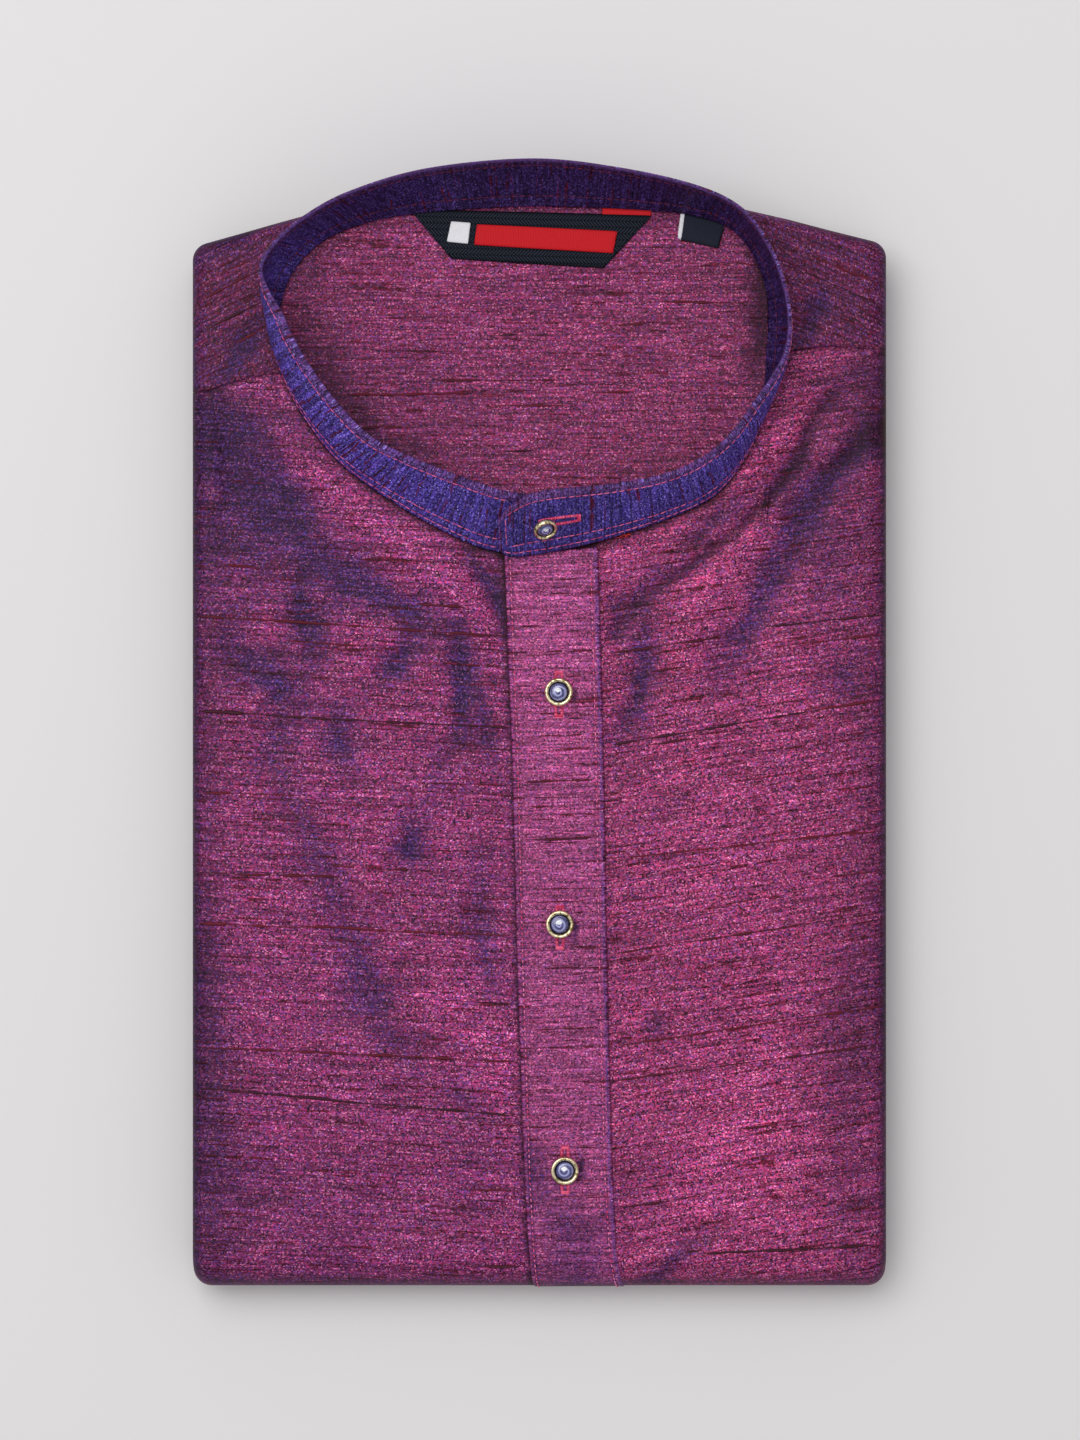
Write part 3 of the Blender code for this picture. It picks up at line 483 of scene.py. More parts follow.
def cloth_shell(name, outer, inner, material, outside, inside=None):
    """A thin closed shell between two grids of points, with a rounded edge all round.

    outside and inside hold the masks of the two faces, each a grid of values."""
    rows, columns = outer.shape[:2]
    size = rows * columns
    ring = [(0, j) for j in range(columns)]
    ring += [(i, columns - 1) for i in range(1, rows)]
    ring += [(rows - 1, j) for j in range(columns - 2, -1, -1)]
    ring += [(i, 0) for i in range(rows - 2, 0, -1)]
    ring = np.array(ring)
    inward = np.clip(ring, 1, [rows - 2, columns - 2])
    at, by = (ring[:, 0], ring[:, 1]), (inward[:, 0], inward[:, 1])
    away = outer[at] - outer[by]
    away /= np.maximum(np.linalg.norm(away, axis=1, keepdims=True), 1e-9)
    wall = np.linalg.norm(outer[at] - inner[at], axis=1, keepdims=True)
    middle = (outer[at] + inner[at]) / 2 + away * wall * 0.5
    points = np.concatenate([outer.reshape(-1, 3), inner.reshape(-1, 3), middle])
    i, j = np.meshgrid(np.arange(rows - 1), np.arange(columns - 1), indexing="ij")
    first = (i * columns + j).ravel()
    quads = np.stack([first, first + 1, first + columns + 1, first + columns], 1)
    back = quads[:, ::-1] + size
    count = len(ring)
    k = np.arange(count)
    k_next = (k + 1) % count
    place = ring[:, 0] * columns + ring[:, 1]
    base = 2 * size
    rim_out = np.stack([place[k_next], place[k], base + k, base + k_next], 1)
    rim_in = np.stack([base + k_next, base + k, place[k] + size, place[k_next] + size], 1)
    faces = np.concatenate([quads, back, rim_out, rim_in]).tolist()
    masks = {}
    for mask, values in outside.items():
        under = (inside or outside)[mask]
        flat = [np.asarray(grid, float).reshape(size, -1) for grid in (values, under)]
        both = np.concatenate([*flat, flat[0][place]])
        masks[mask] = both if both.shape[1] == 3 else both[:, 0]
    return solid_mesh(name, points, faces, masks, material)


def weft_place(x, y, turn, start=0.0):
    """Places along and across the weft, for the weave's pattern."""
    u = x * math.cos(turn) + y * math.sin(turn)
    v = y * math.cos(turn) - x * math.sin(turn)
    return np.stack([u, v, np.full_like(u, start)], -1)


def add_node(tree, kind, links=None, **settings):
    """A node whose inputs take values or other nodes' outputs."""
    node = tree.nodes.new(kind)
    for name, value in settings.items():
        setattr(node, name, value)
    for socket, value in (links or {}).items():
        if isinstance(value, bpy.types.NodeSocket):
            tree.links.new(value, node.inputs[socket])
        else:
            node.inputs[socket].default_value = value
    return node


def calculate(tree, operation, first, second=0.0, third=0.0, clamp=False):
    links = {0: first, 1: second, 2: third}
    return add_node(tree, "ShaderNodeMath", links, operation=operation, use_clamp=clamp).outputs[0]


def product(tree, first, second, clamp=False):
    return calculate(tree, "MULTIPLY", first, second, clamp=clamp)


def scaled(tree, value, factor, added):
    return calculate(tree, "MULTIPLY_ADD", value, factor, added)


def ramp(tree, value, low, high, out_low=0.0, out_high=1.0):
    """A soft step from out_low to out_high as the value goes from low to high."""
    links = {"Value": value, "From Min": low, "From Max": high, "To Min": out_low, "To Max": out_high}
    return add_node(tree, "ShaderNodeMapRange", links, interpolation_type="SMOOTHSTEP").outputs[0]


def mix_colours(tree, share, first, second):
    return add_node(tree, "ShaderNodeMix", {0: share, 6: first, 7: second}, data_type="RGBA").outputs[2]


def new_group(name, takes, gives):
    """A shader group with named inputs, each with its type and value, and named outputs."""
    group = bpy.data.node_groups.new(name, "ShaderNodeTree")
    for label, (kind, value) in takes.items():
        socket = group.interface.new_socket(label, in_out="INPUT", socket_type=f"NodeSocket{kind}")
        if value is not None:
            socket.default_value = value
    for label, kind in gives.items():
        group.interface.new_socket(label, in_out="OUTPUT", socket_type=f"NodeSocket{kind}")
    return group, group.nodes.new("NodeGroupInput"), group.nodes.new("NodeGroupOutput")


def noise(tree, place, scale, detail, roughness=0.5):
    links = {"Vector": place, "Scale": scale, "Detail": detail, "Roughness": roughness}
    return add_node(tree, "ShaderNodeTexNoise", links).outputs["Fac"]


def stretched(tree, u, v, along, across, depth, detail=2.0):
    """Noise drawn out along the weft: its size along and across in millimetres."""
    place = add_node(tree, "ShaderNodeCombineXYZ", {
        0: calculate(tree, "DIVIDE", u, along),
        1: calculate(tree, "DIVIDE", v, across),
        2: depth,
    })
    return noise(tree, place.outputs[0], 1.0, detail, 0.55)


# Shot silk: the weave's places, painted shade where it turns indigo, painted shadow, and how near a bound
# edge it is, with the colours seen square on, turned away as painted shade, and at the edge, and painted
# glints and highlights
THREAD_ALONG = 0.50
THREAD_ACROSS = 0.43
silk, silk_in, silk_out = new_group(
    "Shot silk",
    {
        "Thread": ("Vector", None),
        "Shade": ("Float", 0.0),
        "Dusk": ("Float", 0.0),
        "Rim": ("Float", 0.0),
        "Lit": ("Color", (*SILK_LIT, 1.0)),
        "Turned": ("Color", (*SILK_TURNED, 1.0)),
        "Edge": ("Color", (*SILK_EDGE, 1.0)),
        "Warp": ("Color", (*WARP_BLUE, 1.0)),
        "Glint": ("Color", (*GLINT, 1.0)),
    },
    {"Colour": "Color", "Height": "Float", "Roughness": "Float"},
)
thread = add_node(silk, "ShaderNodeSeparateXYZ", {0: silk_in.outputs["Thread"]})
u, v, w = thread.outputs
cell_u = calculate(silk, "FLOOR", calculate(silk, "DIVIDE", u, THREAD_ALONG))
cell_v = calculate(silk, "FLOOR", calculate(silk, "DIVIDE", v, THREAD_ACROSS))
cell = add_node(silk, "ShaderNodeCombineXYZ", {0: cell_u, 1: cell_v, 2: w})
speck = add_node(silk, "ShaderNodeTexWhiteNoise", {"Vector": cell.outputs[0]}, noise_dimensions="3D")
speck_light = speck.outputs["Value"]
speck_parts = add_node(silk, "ShaderNodeSeparateColor", {0: speck.outputs["Color"]})
speck_turn, speck_warp, speck_glint = speck_parts.outputs
parity = calculate(silk, "PINGPONG", calculate(silk, "ADD", cell_u, cell_v), 1.0)
streak = stretched(silk, u, v, 26.0, 0.9, w)
yarn = stretched(silk, u, v, 7.0, 0.55, 3.0)
broad = stretched(silk, u, v, 70.0, 3.2, w)
mottle = stretched(silk, u, v, 9.0, 7.0, w, 3.0)
grain = stretched(silk, u, v, 1.4, 1.1, w)
slub_run = stretched(silk, u, v, 40.0, 1.5, 7.0, 1.0)
slub_break = stretched(silk, u, v, 6.0, 2.2, 9.0, 1.0)
slub_mask = product(silk, ramp(silk, slub_run, 0.60, 0.66), ramp(silk, slub_break, 0.42, 0.56), clamp=True)
# Painted shade: the Shade mask, roughened by noise, sets how far the colour turns to indigo
turning = silk_in.outputs["Shade"]
for wander, spread in ((mottle, 0.5), (grain, 1.3), (speck_turn, 0.5)):
    turning = calculate(silk, "ADD", turning, scaled(silk, wander, spread, -spread / 2))
turned = ramp(silk, turning, 0.0, 1.1, 0.0, 0.95)
warp_shows = product(silk, ramp(silk, speck_warp, 0.55, 0.82), 0.6)
# Painted glints: pale specks on single threads, fewer where the silk has turned
glint = product(silk, ramp(silk, speck_glint, 0.74, 0.97), 0.46)
glint = product(silk, glint, scaled(silk, turned, -0.7, 1.0))
colour = silk_in.outputs["Lit"]
colour_shares = {"Turned": turned, "Edge": silk_in.outputs["Rim"], "Warp": warp_shows, "Glint": glint}
for label, share in colour_shares.items():
    colour = mix_colours(silk, share, colour, silk_in.outputs[label])
colour = mix_colours(silk, product(silk, slub_mask, 0.85), colour, (*SLUB_RED, 1.0))
# Painted shadow: the colour darkens towards a deep red
dusk = product(silk, silk_in.outputs["Dusk"], 0.85, clamp=True)
colour = mix_colours(silk, dusk, colour, (*PAINTED_SHADOW_RED, 1.0))
light = scaled(silk, parity, 0.12, product(silk, speck_light, 2.0))
for wander, low, high, dim, bright in (
    (broad, 0.3, 0.7, 0.80, 1.18),
    (streak, 0.3, 0.7, 0.62, 1.32),
    (yarn, 0.28, 0.6, 0.58, 1.12),
):
    light = product(silk, light, ramp(silk, wander, low, high, dim, bright))
# Painted highlight: a negative Shade lights the colour up
painted_highlight = product(silk, silk_in.outputs["Shade"], -0.9, clamp=True)
light = product(silk, light, calculate(silk, "ADD", painted_highlight, 1.0))
lit_colour = add_node(silk, "ShaderNodeVectorMath", {0: colour, "Scale": light}, operation="SCALE")
height = scaled(silk, speck_light, 0.35, product(silk, streak, 0.5))
height = calculate(silk, "ADD", scaled(silk, yarn, 0.5, height), slub_mask)
silk.links.new(lit_colour.outputs[0], silk_out.inputs["Colour"])
silk.links.new(height, silk_out.inputs["Height"])
silk.links.new(scaled(silk, speck_light, 0.2, 0.42), silk_out.inputs["Roughness"])


def woven_material(name, group, masks, values, finish, bump):
    """Cloth or thread: a group gives colour and relief, from masks on the mesh and from plain values."""
    material, tree, shader = new_material(name, finish)
    node = add_node(tree, "ShaderNodeGroup", node_tree=group)
    for label in masks:
        attribute = add_node(tree, "ShaderNodeAttribute", attribute_name=label.lower())
        tree.links.new(attribute.outputs["Vector" if label == "Thread" else "Fac"], node.inputs[label])
    for label, value in values.items():
        node.inputs[label].default_value = (*value, 1.0) if isinstance(value, tuple) else value
    strength, depth = bump
    links = {"Strength": strength, "Distance": depth, "Height": node.outputs["Height"]}
    relief = add_node(tree, "ShaderNodeBump", links)
    tree.links.new(relief.outputs["Normal"], shader.inputs["Normal"])
    tree.links.new(node.outputs["Colour"], shader.inputs["Base Color"])
    if "Roughness" in node.outputs:
        tree.links.new(node.outputs["Roughness"], shader.inputs["Roughness"])
    return material


def silk_material(name, lit=SILK_LIT, turned_to=SILK_TURNED, edge=SILK_EDGE, glint=GLINT):
    """Shot silk whose places, turning, dusk and edge come from the mesh."""
    colours = {"Lit": lit, "Turned": turned_to, "Edge": edge, "Glint": glint}
    return woven_material(name, silk, ("Thread", "Shade", "Dusk", "Rim"), colours, SILK_FINISH, SILK_BUMP)


def roll(x, y, drop, turn):
    """Places of the packet's skin, drop below its top, rolled round the bottom end by turn."""
    reach = END_FOLD - drop
    flat = np.stack(np.broadcast_arrays(x, y, TOP - drop), -1)
    rolled = np.stack(
        np.broadcast_arrays(x, END_AXIS - reach * np.sin(turn), END_FOLD + reach * np.cos(turn)), -1
    )
    return np.where((np.asarray(turn) > 0)[..., None], rolled, flat)


def front_relief(x, y, front):
    """Height, painted shade and painted shadow of a front's creases, which die out at its folds and seams,
    with painted shadows beside the placket, under the band and below the yoke seam.
    """
    height, shade, dusk = fold_masks(x, y, front.folds)
    height = height + soft_waves(x, y, front.seed, 0.22)
    left, right = placket_edges(y)
    below_top = front_top(front.seam, x) - y
    fade = 1.0
    for distance in (SIDE_LINE - np.abs(x), y - END_AXIS, below_top, np.maximum(left - x, x - right)):
        fade = fade * smooth_step(distance / RELIEF_FADE)
    # Painted shadows: beside the placket's edges, under the collar band and below the yoke seam
    beside = np.maximum(left - x, 0) / (PLACKET_SHADOW + PLACKET_SHADOW * smooth_step(y / 60.0))
    on_right = x < placket_middle(y)
    on_left = x > placket_middle(y)
    dusk = dusk + 1.15 * close_to(beside, 1.0) * on_right
    shade = shade + 0.5 * close_to(beside, 1.6) * on_right
    dusk = dusk + 0.35 * close_to(np.maximum(x - right, 0), 0.8) * on_left
    at_band = np.abs(x) < abs(front.seam.neck_x)
    dusk = dusk + np.where(at_band, close_to(below_top, BAND_SHADOW), 0.5 * close_to(below_top, SEAM_SHADOW))
    return np.clip(height, *RELIEF_RANGE) * fade, shade, dusk


def near_end(y):
    """How far the cloth is pressed flat on its way into the bottom fold."""
    return smooth_step((END_AXIS + PRESSED_LENGTH - y) / PRESSED_LENGTH)


def build_front(name, node, front, material):
    """One front: its upper side, with the turns of cloth over its side fold and round the bottom fold."""
    seam = front.seam
    side = math.copysign(1, seam.neck_x)
    share = np.linspace(0, 1, FRONT_COLUMNS)[None, :]
    down = np.concatenate([np.linspace(0, 1, FRONT_ROWS), np.ones(len(END_TURNS))])[:, None]
    turn = np.concatenate([np.zeros(FRONT_ROWS), END_TURNS])[:, None]
    inner = placket_middle(60.0) + side * GAP
    top = front_top(seam, blend(inner, side * SIDE_LINE, share))
    y = blend(top, END_AXIS, down)
    unrolled = y - END_FOLD * turn
    x = blend(placket_middle(unrolled) + side * GAP, side * SIDE_LINE, share)
    height, shade, dusk = front_relief(x, unrolled, front)
    left, right = placket_edges(unrolled)
    under_placket = smooth_step((x - left) / 1.5) * smooth_step((right - x) / 1.5)
    flat = roll(x, y, -height + PRESSED_IN * under_placket * near_end(y), turn)
    side_x = side * (SIDE_LINE + SIDE_FOLD * np.sin(SIDE_TURNS))[None, :]
    side_y = blend(seam_height(seam, side * SIDE_LINE) - GAP / 2, END_AXIS, down)
    wrap = roll(side_x, side_y, SIDE_FOLD * (1 - np.cos(SIDE_TURNS))[None, :], turn)
    outer = np.concatenate([flat, wrap], 1)
    normals = surface_normals(outer)
    arc = SIDE_LINE * side + side * SIDE_FOLD * SIDE_TURNS[None, :] + 0 * side_y
    all_x = np.concatenate([x, arc], 1)
    all_y = np.concatenate([y, side_y + 0 * arc], 1) - END_FOLD * turn
    steep = rolled_away(normals)
    masks = {
        "thread": weft_place(all_x, all_y, math.radians(front.weft)),
        # Painted shade and painted shadow, with more of both where the cloth rolls over the side and bottom
        # folds
        "shade": carried_over(shade, arc) + 0.45 * steep,
        "dusk": carried_over(dusk, arc) + 0.4 * steep,
        "rim": np.zeros_like(all_x),
    }
    piece = cloth_shell(name, outer, outer - normals * CLOTH, material, masks)
    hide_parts(node)
    return piece


front_silk = silk_material("front_silk")
front_left_silk = silk_material("front_left_silk", lit=LEFT_LIT)
front_right = build_front("front_right_cloth", "front_right", RIGHT_FRONT, front_silk)
front_left = build_front("front_left_cloth", "front_left", LEFT_FRONT, front_left_silk)


def top_height(x, y):
    """The height of the fronts' upper side at each place."""
    right, left = (front_relief(x, y, front)[0] for front in (RIGHT_FRONT, LEFT_FRONT))
    return TOP + np.where(x < placket_middle(y), right, left)


def thread_runs(name, runs, sides, material):
    """One mesh of closed tubes. A run has its middle line, the radius along it and its up direction."""
    points, faces, tone = [], [], []
    base = 0
    angles = (np.arange(sides) / sides * math.tau)[None, :, None]
    for number, (line, radius, up) in enumerate(runs):
        line = np.asarray(line, float)
        along = unit(np.gradient(line, axis=0))
        beside = unit(np.cross(along, np.broadcast_to(np.asarray(up, float), line.shape)))
        over = np.cross(beside, along)
        ring = beside[:, None] * np.cos(angles) + over[:, None] * np.sin(angles)
        tube = line[:, None] + ring * np.asarray(radius, float)[:, None, None]
        count = len(line)
        points += [tube.reshape(-1, 3), line[:1], line[-1:]]
        i, j = np.meshgrid(np.arange(count - 1), np.arange(sides), indexing="ij")
        first = base + i * sides + j
        second = base + i * sides + (j + 1) % sides
        faces += np.stack([first, second, second + sides, first + sides], -1).reshape(-1, 4).tolist()
        low, high = base + count * sides, base + count * sides + 1
        last = base + (count - 1) * sides
        for k in range(sides):
            faces.append([low, base + (k + 1) % sides, base + k])
            faces.append([high, last + k, last + (k + 1) % sides])
        tone.append(np.full(count * sides + 2, number, float))
        base += count * sides + 2
    return solid_mesh(name, np.concatenate(points), faces, {"tone": np.concatenate(tone)}, material)


def slub_runs(table, height, seed):
    """Middle lines and radii of slubs that lie on a surface, thick and thin by turns."""
    draw = np.random.default_rng(seed)
    runs = []
    for slub in table:
        length = math.hypot(slub.x1 - slub.x0, slub.y1 - slub.y0)
        count = max(8, int(length / SLUB_STEP))
        share = np.linspace(0, 1, count)
        wander = np.cumsum(draw.normal(0, 0.05, count))
        x = blend(slub.x0, slub.x1, share)
        y = blend(slub.y0, slub.y1, share) + wander - blend(wander[0], wander[-1], share)
        rough = np.convolve(draw.uniform(-1.0, 1.0, count + 4), np.ones(5) / 5, "valid")
        swell = np.clip(0.95 + 1.9 * rough, 0.55, 1.9)
        taper = np.minimum(1.0, np.minimum(share, 1 - share) * length / 5.0) + 0.02
        radius = slub.radius * SLUB_SWELL * swell * taper
        z = height(x, y) - slub.radius * SLUB_SINK
        runs.append((np.stack([x, y, z], 1), radius, (0, 0, 1)))
    return runs


# Yarns, sewing thread and buttonhole thread share one twist of two colours
YARN_FINISH = {"Roughness": 0.55, "Specular IOR Level": 0.25}
YARN_BUMP = (0.4, 0.0001)
yarn_group, yarn_in, yarn_out = new_group(
    "Yarn",
    {
        "Tone": ("Float", 0.0),
        "Light": ("Color", (0.5, 0.1, 0.2, 1.0)),
        "Dark": ("Color", (0.2, 0.02, 0.06, 1.0)),
        "Twist": ("Float", 900.0),
    },
    {"Colour": "Color", "Height": "Float"},
)
yarn_place = add_node(yarn_group, "ShaderNodeTexCoord")
yarn_noise = noise(yarn_group, yarn_place.outputs["Object"], yarn_in.outputs["Twist"], 2.0)
yarn_links = {"W": yarn_in.outputs["Tone"]}
yarn_random = add_node(yarn_group, "ShaderNodeTexWhiteNoise", yarn_links, noise_dimensions="1D")
yarn_share = scaled(yarn_group, yarn_random.outputs["Value"], 0.5, product(yarn_group, yarn_noise, 0.5))
yarn_share = ramp(yarn_group, yarn_share, 0.2, 0.8)
yarn_mix = mix_colours(yarn_group, yarn_share, yarn_in.outputs["Dark"], yarn_in.outputs["Light"])
yarn_group.links.new(yarn_mix, yarn_out.inputs["Colour"])
yarn_group.links.new(yarn_noise, yarn_out.inputs["Height"])


def yarn_material(name, light, dark):
    colours = {"Light": light, "Dark": dark}
    return woven_material(name, yarn_group, ("Tone",), colours, YARN_FINISH, YARN_BUMP)


slub_silk = yarn_material("slub_silk", (0.13, 0.004, 0.016), (0.032, 0.002, 0.011))
front_slubs = thread_runs("front_slubs", slub_runs(FRONT_SLUBS, top_height, 21), SLUB_SIDES, slub_silk)

# The yoke
# One piece of the same silk over both shoulders and round the back of the neck. Its weft runs level at the
# centre back, so it slants on each shoulder, where the piece turns down over the shoulder fold.
YokeRow = namedtuple("YokeRow", "station fold_x fold_y heading reach bow")
YOKE = (
    YokeRow(6.45, -118.8, 121.4, 180.0, 6.5, 1.0),
    YokeRow(7.2, -118.8, 133.0, 180.0, 6.5, 0.6),
    YokeRow(8.2, -118.8, 145.0, 180.0, 6.5, 0.0),
    YokeRow(9.2, -118.8, 157.0, 180.0, 6.5, 0.0),
    YokeRow(9.9, -118.8, 168.9, 180.0, 6.5, 0.0),
    YokeRow(10.1, -118.8, 168.9, 155.0, 6.5, 0.0),
    YokeRow(10.3, -118.8, 168.9, 130.0, 6.5, 0.0),
    YokeRow(10.5, -118.8, 168.9, 105.7, 6.5, 0.0),
    YokeRow(11.2, -106.0, 172.5, 105.7, 6.5, 0.0),
    YokeRow(12.0, -92.0, 176.5, 105.7, 6.5, 0.0),
    YokeRow(12.7, -76.0, 180.9, 105.7, 6.5, 0.0),
    YokeRow(13.3, -58.0, 185.7, 105.7, 6.5, 0.0),
    YokeRow(14.0, -40.0, 189.6, 100.0, 6.5, 0.0),
    YokeRow(14.6, -20.0, 190.9, 91.0, 6.5, 0.0),
    YokeRow(15.0, -2.2, 191.0, 90.0, 6.5, 0.0),
    YokeRow(15.5, 14.0, 190.9, 89.0, 6.5, 0.0),
    YokeRow(16.0, 30.0, 190.4, 84.0, 5.3, 0.0),
    YokeRow(17.0, 52.0, 187.6, 80.0, 3.6, 0.0),
    YokeRow(18.0, 71.0, 183.4, 76.1, 4.6, 0.0),
    YokeRow(18.7, 88.0, 178.3, 76.1, 5.8, 0.0),
    YokeRow(19.3, 104.0, 173.4, 76.1, 6.5, 0.0),
    YokeRow(19.9, 118.8, 169.7, 76.1, 6.5, 0.0),
    YokeRow(20.1, 118.8, 169.7, 50.0, 6.5, 0.0),
    YokeRow(20.3, 118.8, 169.7, 25.0, 6.5, 0.0),
    YokeRow(20.5, 118.8, 169.7, 0.0, 6.5, 0.0),
    YokeRow(21.2, 118.8, 157.0, 0.0, 6.5, 0.0),
    YokeRow(21.8, 118.8, 146.0, 0.0, 6.5, 1.0),
    YokeRow(22.1, 118.8, 136.6, 0.0, 6.5, 2.0),
)
YOKE_STEPS = 7
# Creases of the yoke, with painted shade and painted shadow along its outer folds and top corner
YOKE_FOLDS = (
    Fold(((-100.2, 144.9), (-108.1, 135.2), (-114.6, 125.1)), 4.7, -0.5, 0.85, 0.1),
    Fold(((102.9, 157.5), (98.9, 148.5), (95.7, 139.5)), 3.6, -0.5, 0.8, 0.1),
    Fold(((-123.9, 167.6), (-123.5, 143.1), (-124.2, 117.9)), 4.2, 0, 0.55, 0.15),
    Fold(((-120.9, 169.6), (-104.5, 173.9)), 3.2, 0, 0.5, 0.1),
    Fold(((123.9, 168.3), (124.3, 137.7)), 4.2, 0, 0.6, 0.15),
)
YOKE_SLUBS = (
    Slub(-122.6, 153.9, -100.2, 165.4, 0.26),
    Slub(-120.7, 143.1, -99.2, 153.9, 0.26),
    Slub(-117.1, 162.9, -101.2, 169.7, 0.2),
    Slub(93.5, 171.9, 121.8, 160.4, 0.24),
    Slub(93.5, 165.4, 122.1, 152.8, 0.24),
    Slub(111.5, 153.9, 122.1, 147.4, 0.22),
    Slub(-111, 137.7, -98, 144.9, 0.26),
)
# A darker copy of the silk with dimmer painted glints: painted shade for the yoke, also used for the folded
# layers
YOKE_LIT = (0.118, 0.009, 0.036)
YOKE_GLINT = (0.46, 0.15, 0.25)
YOKE_LEVEL = 60.0
YOKE_SLANTS = (0.48, 0.40)


def yoke_relief(x, y):
    height, shade, dusk = fold_masks(x, y, YOKE_FOLDS)
    return np.clip(height + soft_waves(x, y, 8, 0.15), *RELIEF_RANGE), shade, dusk


places = np.linspace(0, len(YOKE) - 1, (len(YOKE) - 1) * YOKE_STEPS + 1)
yoke_values = np.stack([np.interp(places, np.arange(len(YOKE)), column) for column in zip(*YOKE)], 1)
station, fold_x, fold_y, heading, reach, bow = (column[:, None] for column in yoke_values.T)
neck = neck_edge(station[:, 0])
share = np.linspace(0, 1, 26)[None, :]
x = blend(neck[:, :1], fold_x, share)
y = blend(neck[:, 1:], fold_y, share) + bow * 4 * share * (1 - share) + GAP / 2
height, shade, dusk = yoke_relief(x, y)
height = height * smooth_step(share * 6) * smooth_step((1 - share) * 5)
height = height * smooth_step(np.minimum(places, len(YOKE) - 1 - places) / 1.5)[:, None]
angle = SIDE_TURNS[None, :]
head = np.radians(heading)
flat = np.stack([x, y, TOP + height], -1)
wrap_x = fold_x + np.cos(head) * reach * np.sin(angle)
wrap_y = fold_y + np.sin(head) * reach * np.sin(angle) + GAP / 2
wrap = np.stack([wrap_x, wrap_y, TOP - SIDE_FOLD + SIDE_FOLD * np.cos(angle) + 0 * wrap_x], -1)
outer = np.concatenate([flat, wrap], 1)
normals = surface_normals(outer)
all_x = np.concatenate([x, fold_x + np.cos(head) * SIDE_FOLD * angle], 1)
all_y = np.concatenate([y, fold_y + np.sin(head) * SIDE_FOLD * angle], 1)
weft_v = all_y + np.where(all_x < 0, *YOKE_SLANTS) * np.maximum(np.abs(all_x) - YOKE_LEVEL, 0.0)
steep = rolled_away(normals)
near_seam = np.minimum(places, len(YOKE) - 1 - places)[:, None] + 0 * all_x
masks = {
    "thread": np.stack([all_x * 1.1, weft_v * 0.9, 0 * all_x + 3.0], -1),
    # Painted shade and shadow where the yoke rolls over the shoulder folds, and painted shadow at its ends
    # by the front seams
    "shade": carried_over(shade, wrap_x) + 0.4 * steep,
    "dusk": carried_over(dusk, wrap_x) + 0.35 * steep + 0.5 * close_to(near_seam, 0.07),
    "rim": np.zeros_like(all_x),
}
yoke_silk = silk_material("yoke_silk", lit=YOKE_LIT, glint=YOKE_GLINT)
yoke = cloth_shell("yoke_cloth", outer, outer - normals * CLOTH, yoke_silk, masks)
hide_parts("yoke")
yoke_runs = slub_runs(YOKE_SLUBS, lambda x, y: TOP + yoke_relief(x, y)[0], 22)
yoke_slubs = thread_runs("yoke_slubs", yoke_runs, SLUB_SIDES, slub_silk)

# The inside of the back
# The back panel shows through the neck as a shallow dish below the collar seam. It is the same silk seen
# from inside, with its weft level, and the band's shadow on it along the edge is painted into its colour.
NECK_MIDDLE = (-5.0, 126.0)
DISH_EDGE = 25.5
DISH_FRONT_EDGE = 24.2
DISH_FRONT = 95.0
DISH_RISE = 40.0
DISH_FLOOR = 22.1
# Painted shade and painted shadow of the band on the dish, darkest beside its left and right sides
BACK_FOLDS = (
    Fold(((-84, 150), (-74, 120), (-54, 98), (-32, 86)), 10.0, -0.2, 0.4, 0.5),
    Fold(((-60, 150), (-48, 128), (-20, 112)), 22.0, 0.0, 0.22, 0.0),
    Fold(((80, 178), (82, 150), (78, 128)), 7.0, -0.2, 0.5, 0.9),
    Fold(((-84, 160), (-80, 172)), 6.0, 0.0, 0.3, 0.2),
    Fold(((-30, 158), (20, 156)), 9.0, 0.2, 0.12, 0.0),
)
BACK_SLUBS = (
    Slub(21.5, 145.6, 53.9, 146, 0.26),
    Slub(-21.7, 141.7, 7.1, 142, 0.22),
    Slub(16.1, 121.5, 35.9, 121.5, 0.22),
    Slub(-14.5, 116.5, 10.7, 116.5, 0.22),
    Slub(-14.5, 99.9, -0.1, 100.3, 0.24),
    Slub(-80.9, 176.5, -60.6, 177.5, 0.2),
    Slub(-70.7, 120.4, -25.3, 121.1, 0.22),
    Slub(-39.7, 125.5, 7.1, 125.8, 0.2),
    Slub(41.3, 153.9, 76.1, 153.5, 0.2),
)
# A slightly darker copy of the silk: painted light
BACK_LIT = (0.262, 0.025, 0.088)
BACK_INSET = -0.6
BACK_ROWS = 130
BACK_COLUMNS = 170

ring_places = np.linspace(*NECK_STATIONS, 500)
ring_points = along_table(COLLAR, ring_places)[:, :2] - NECK_MIDDLE
ring_angles = np.arctan2(ring_points[:, 1], ring_points[:, 0])
ring_order = np.argsort(ring_angles)


def dish_height(x, y):
    """Height of the inside of the back at each place, lower at the front, where it goes under the fronts."""
    away_x, away_y = x - NECK_MIDDLE[0], y - NECK_MIDDLE[1]
    sizes = np.linalg.norm(ring_points, axis=1)[ring_order] - NECK_STEP
    radius = np.interp(np.arctan2(away_y, away_x), ring_angles[ring_order], sizes, period=math.tau)
    scale = np.minimum(np.hypot(away_x, away_y) / radius, 1.0)
    edge = blend(DISH_FRONT_EDGE, DISH_EDGE, smooth_step((y - DISH_FRONT) / DISH_RISE))
    return edge - (edge - DISH_FLOOR) * (1 - scale**2) ** 1.3


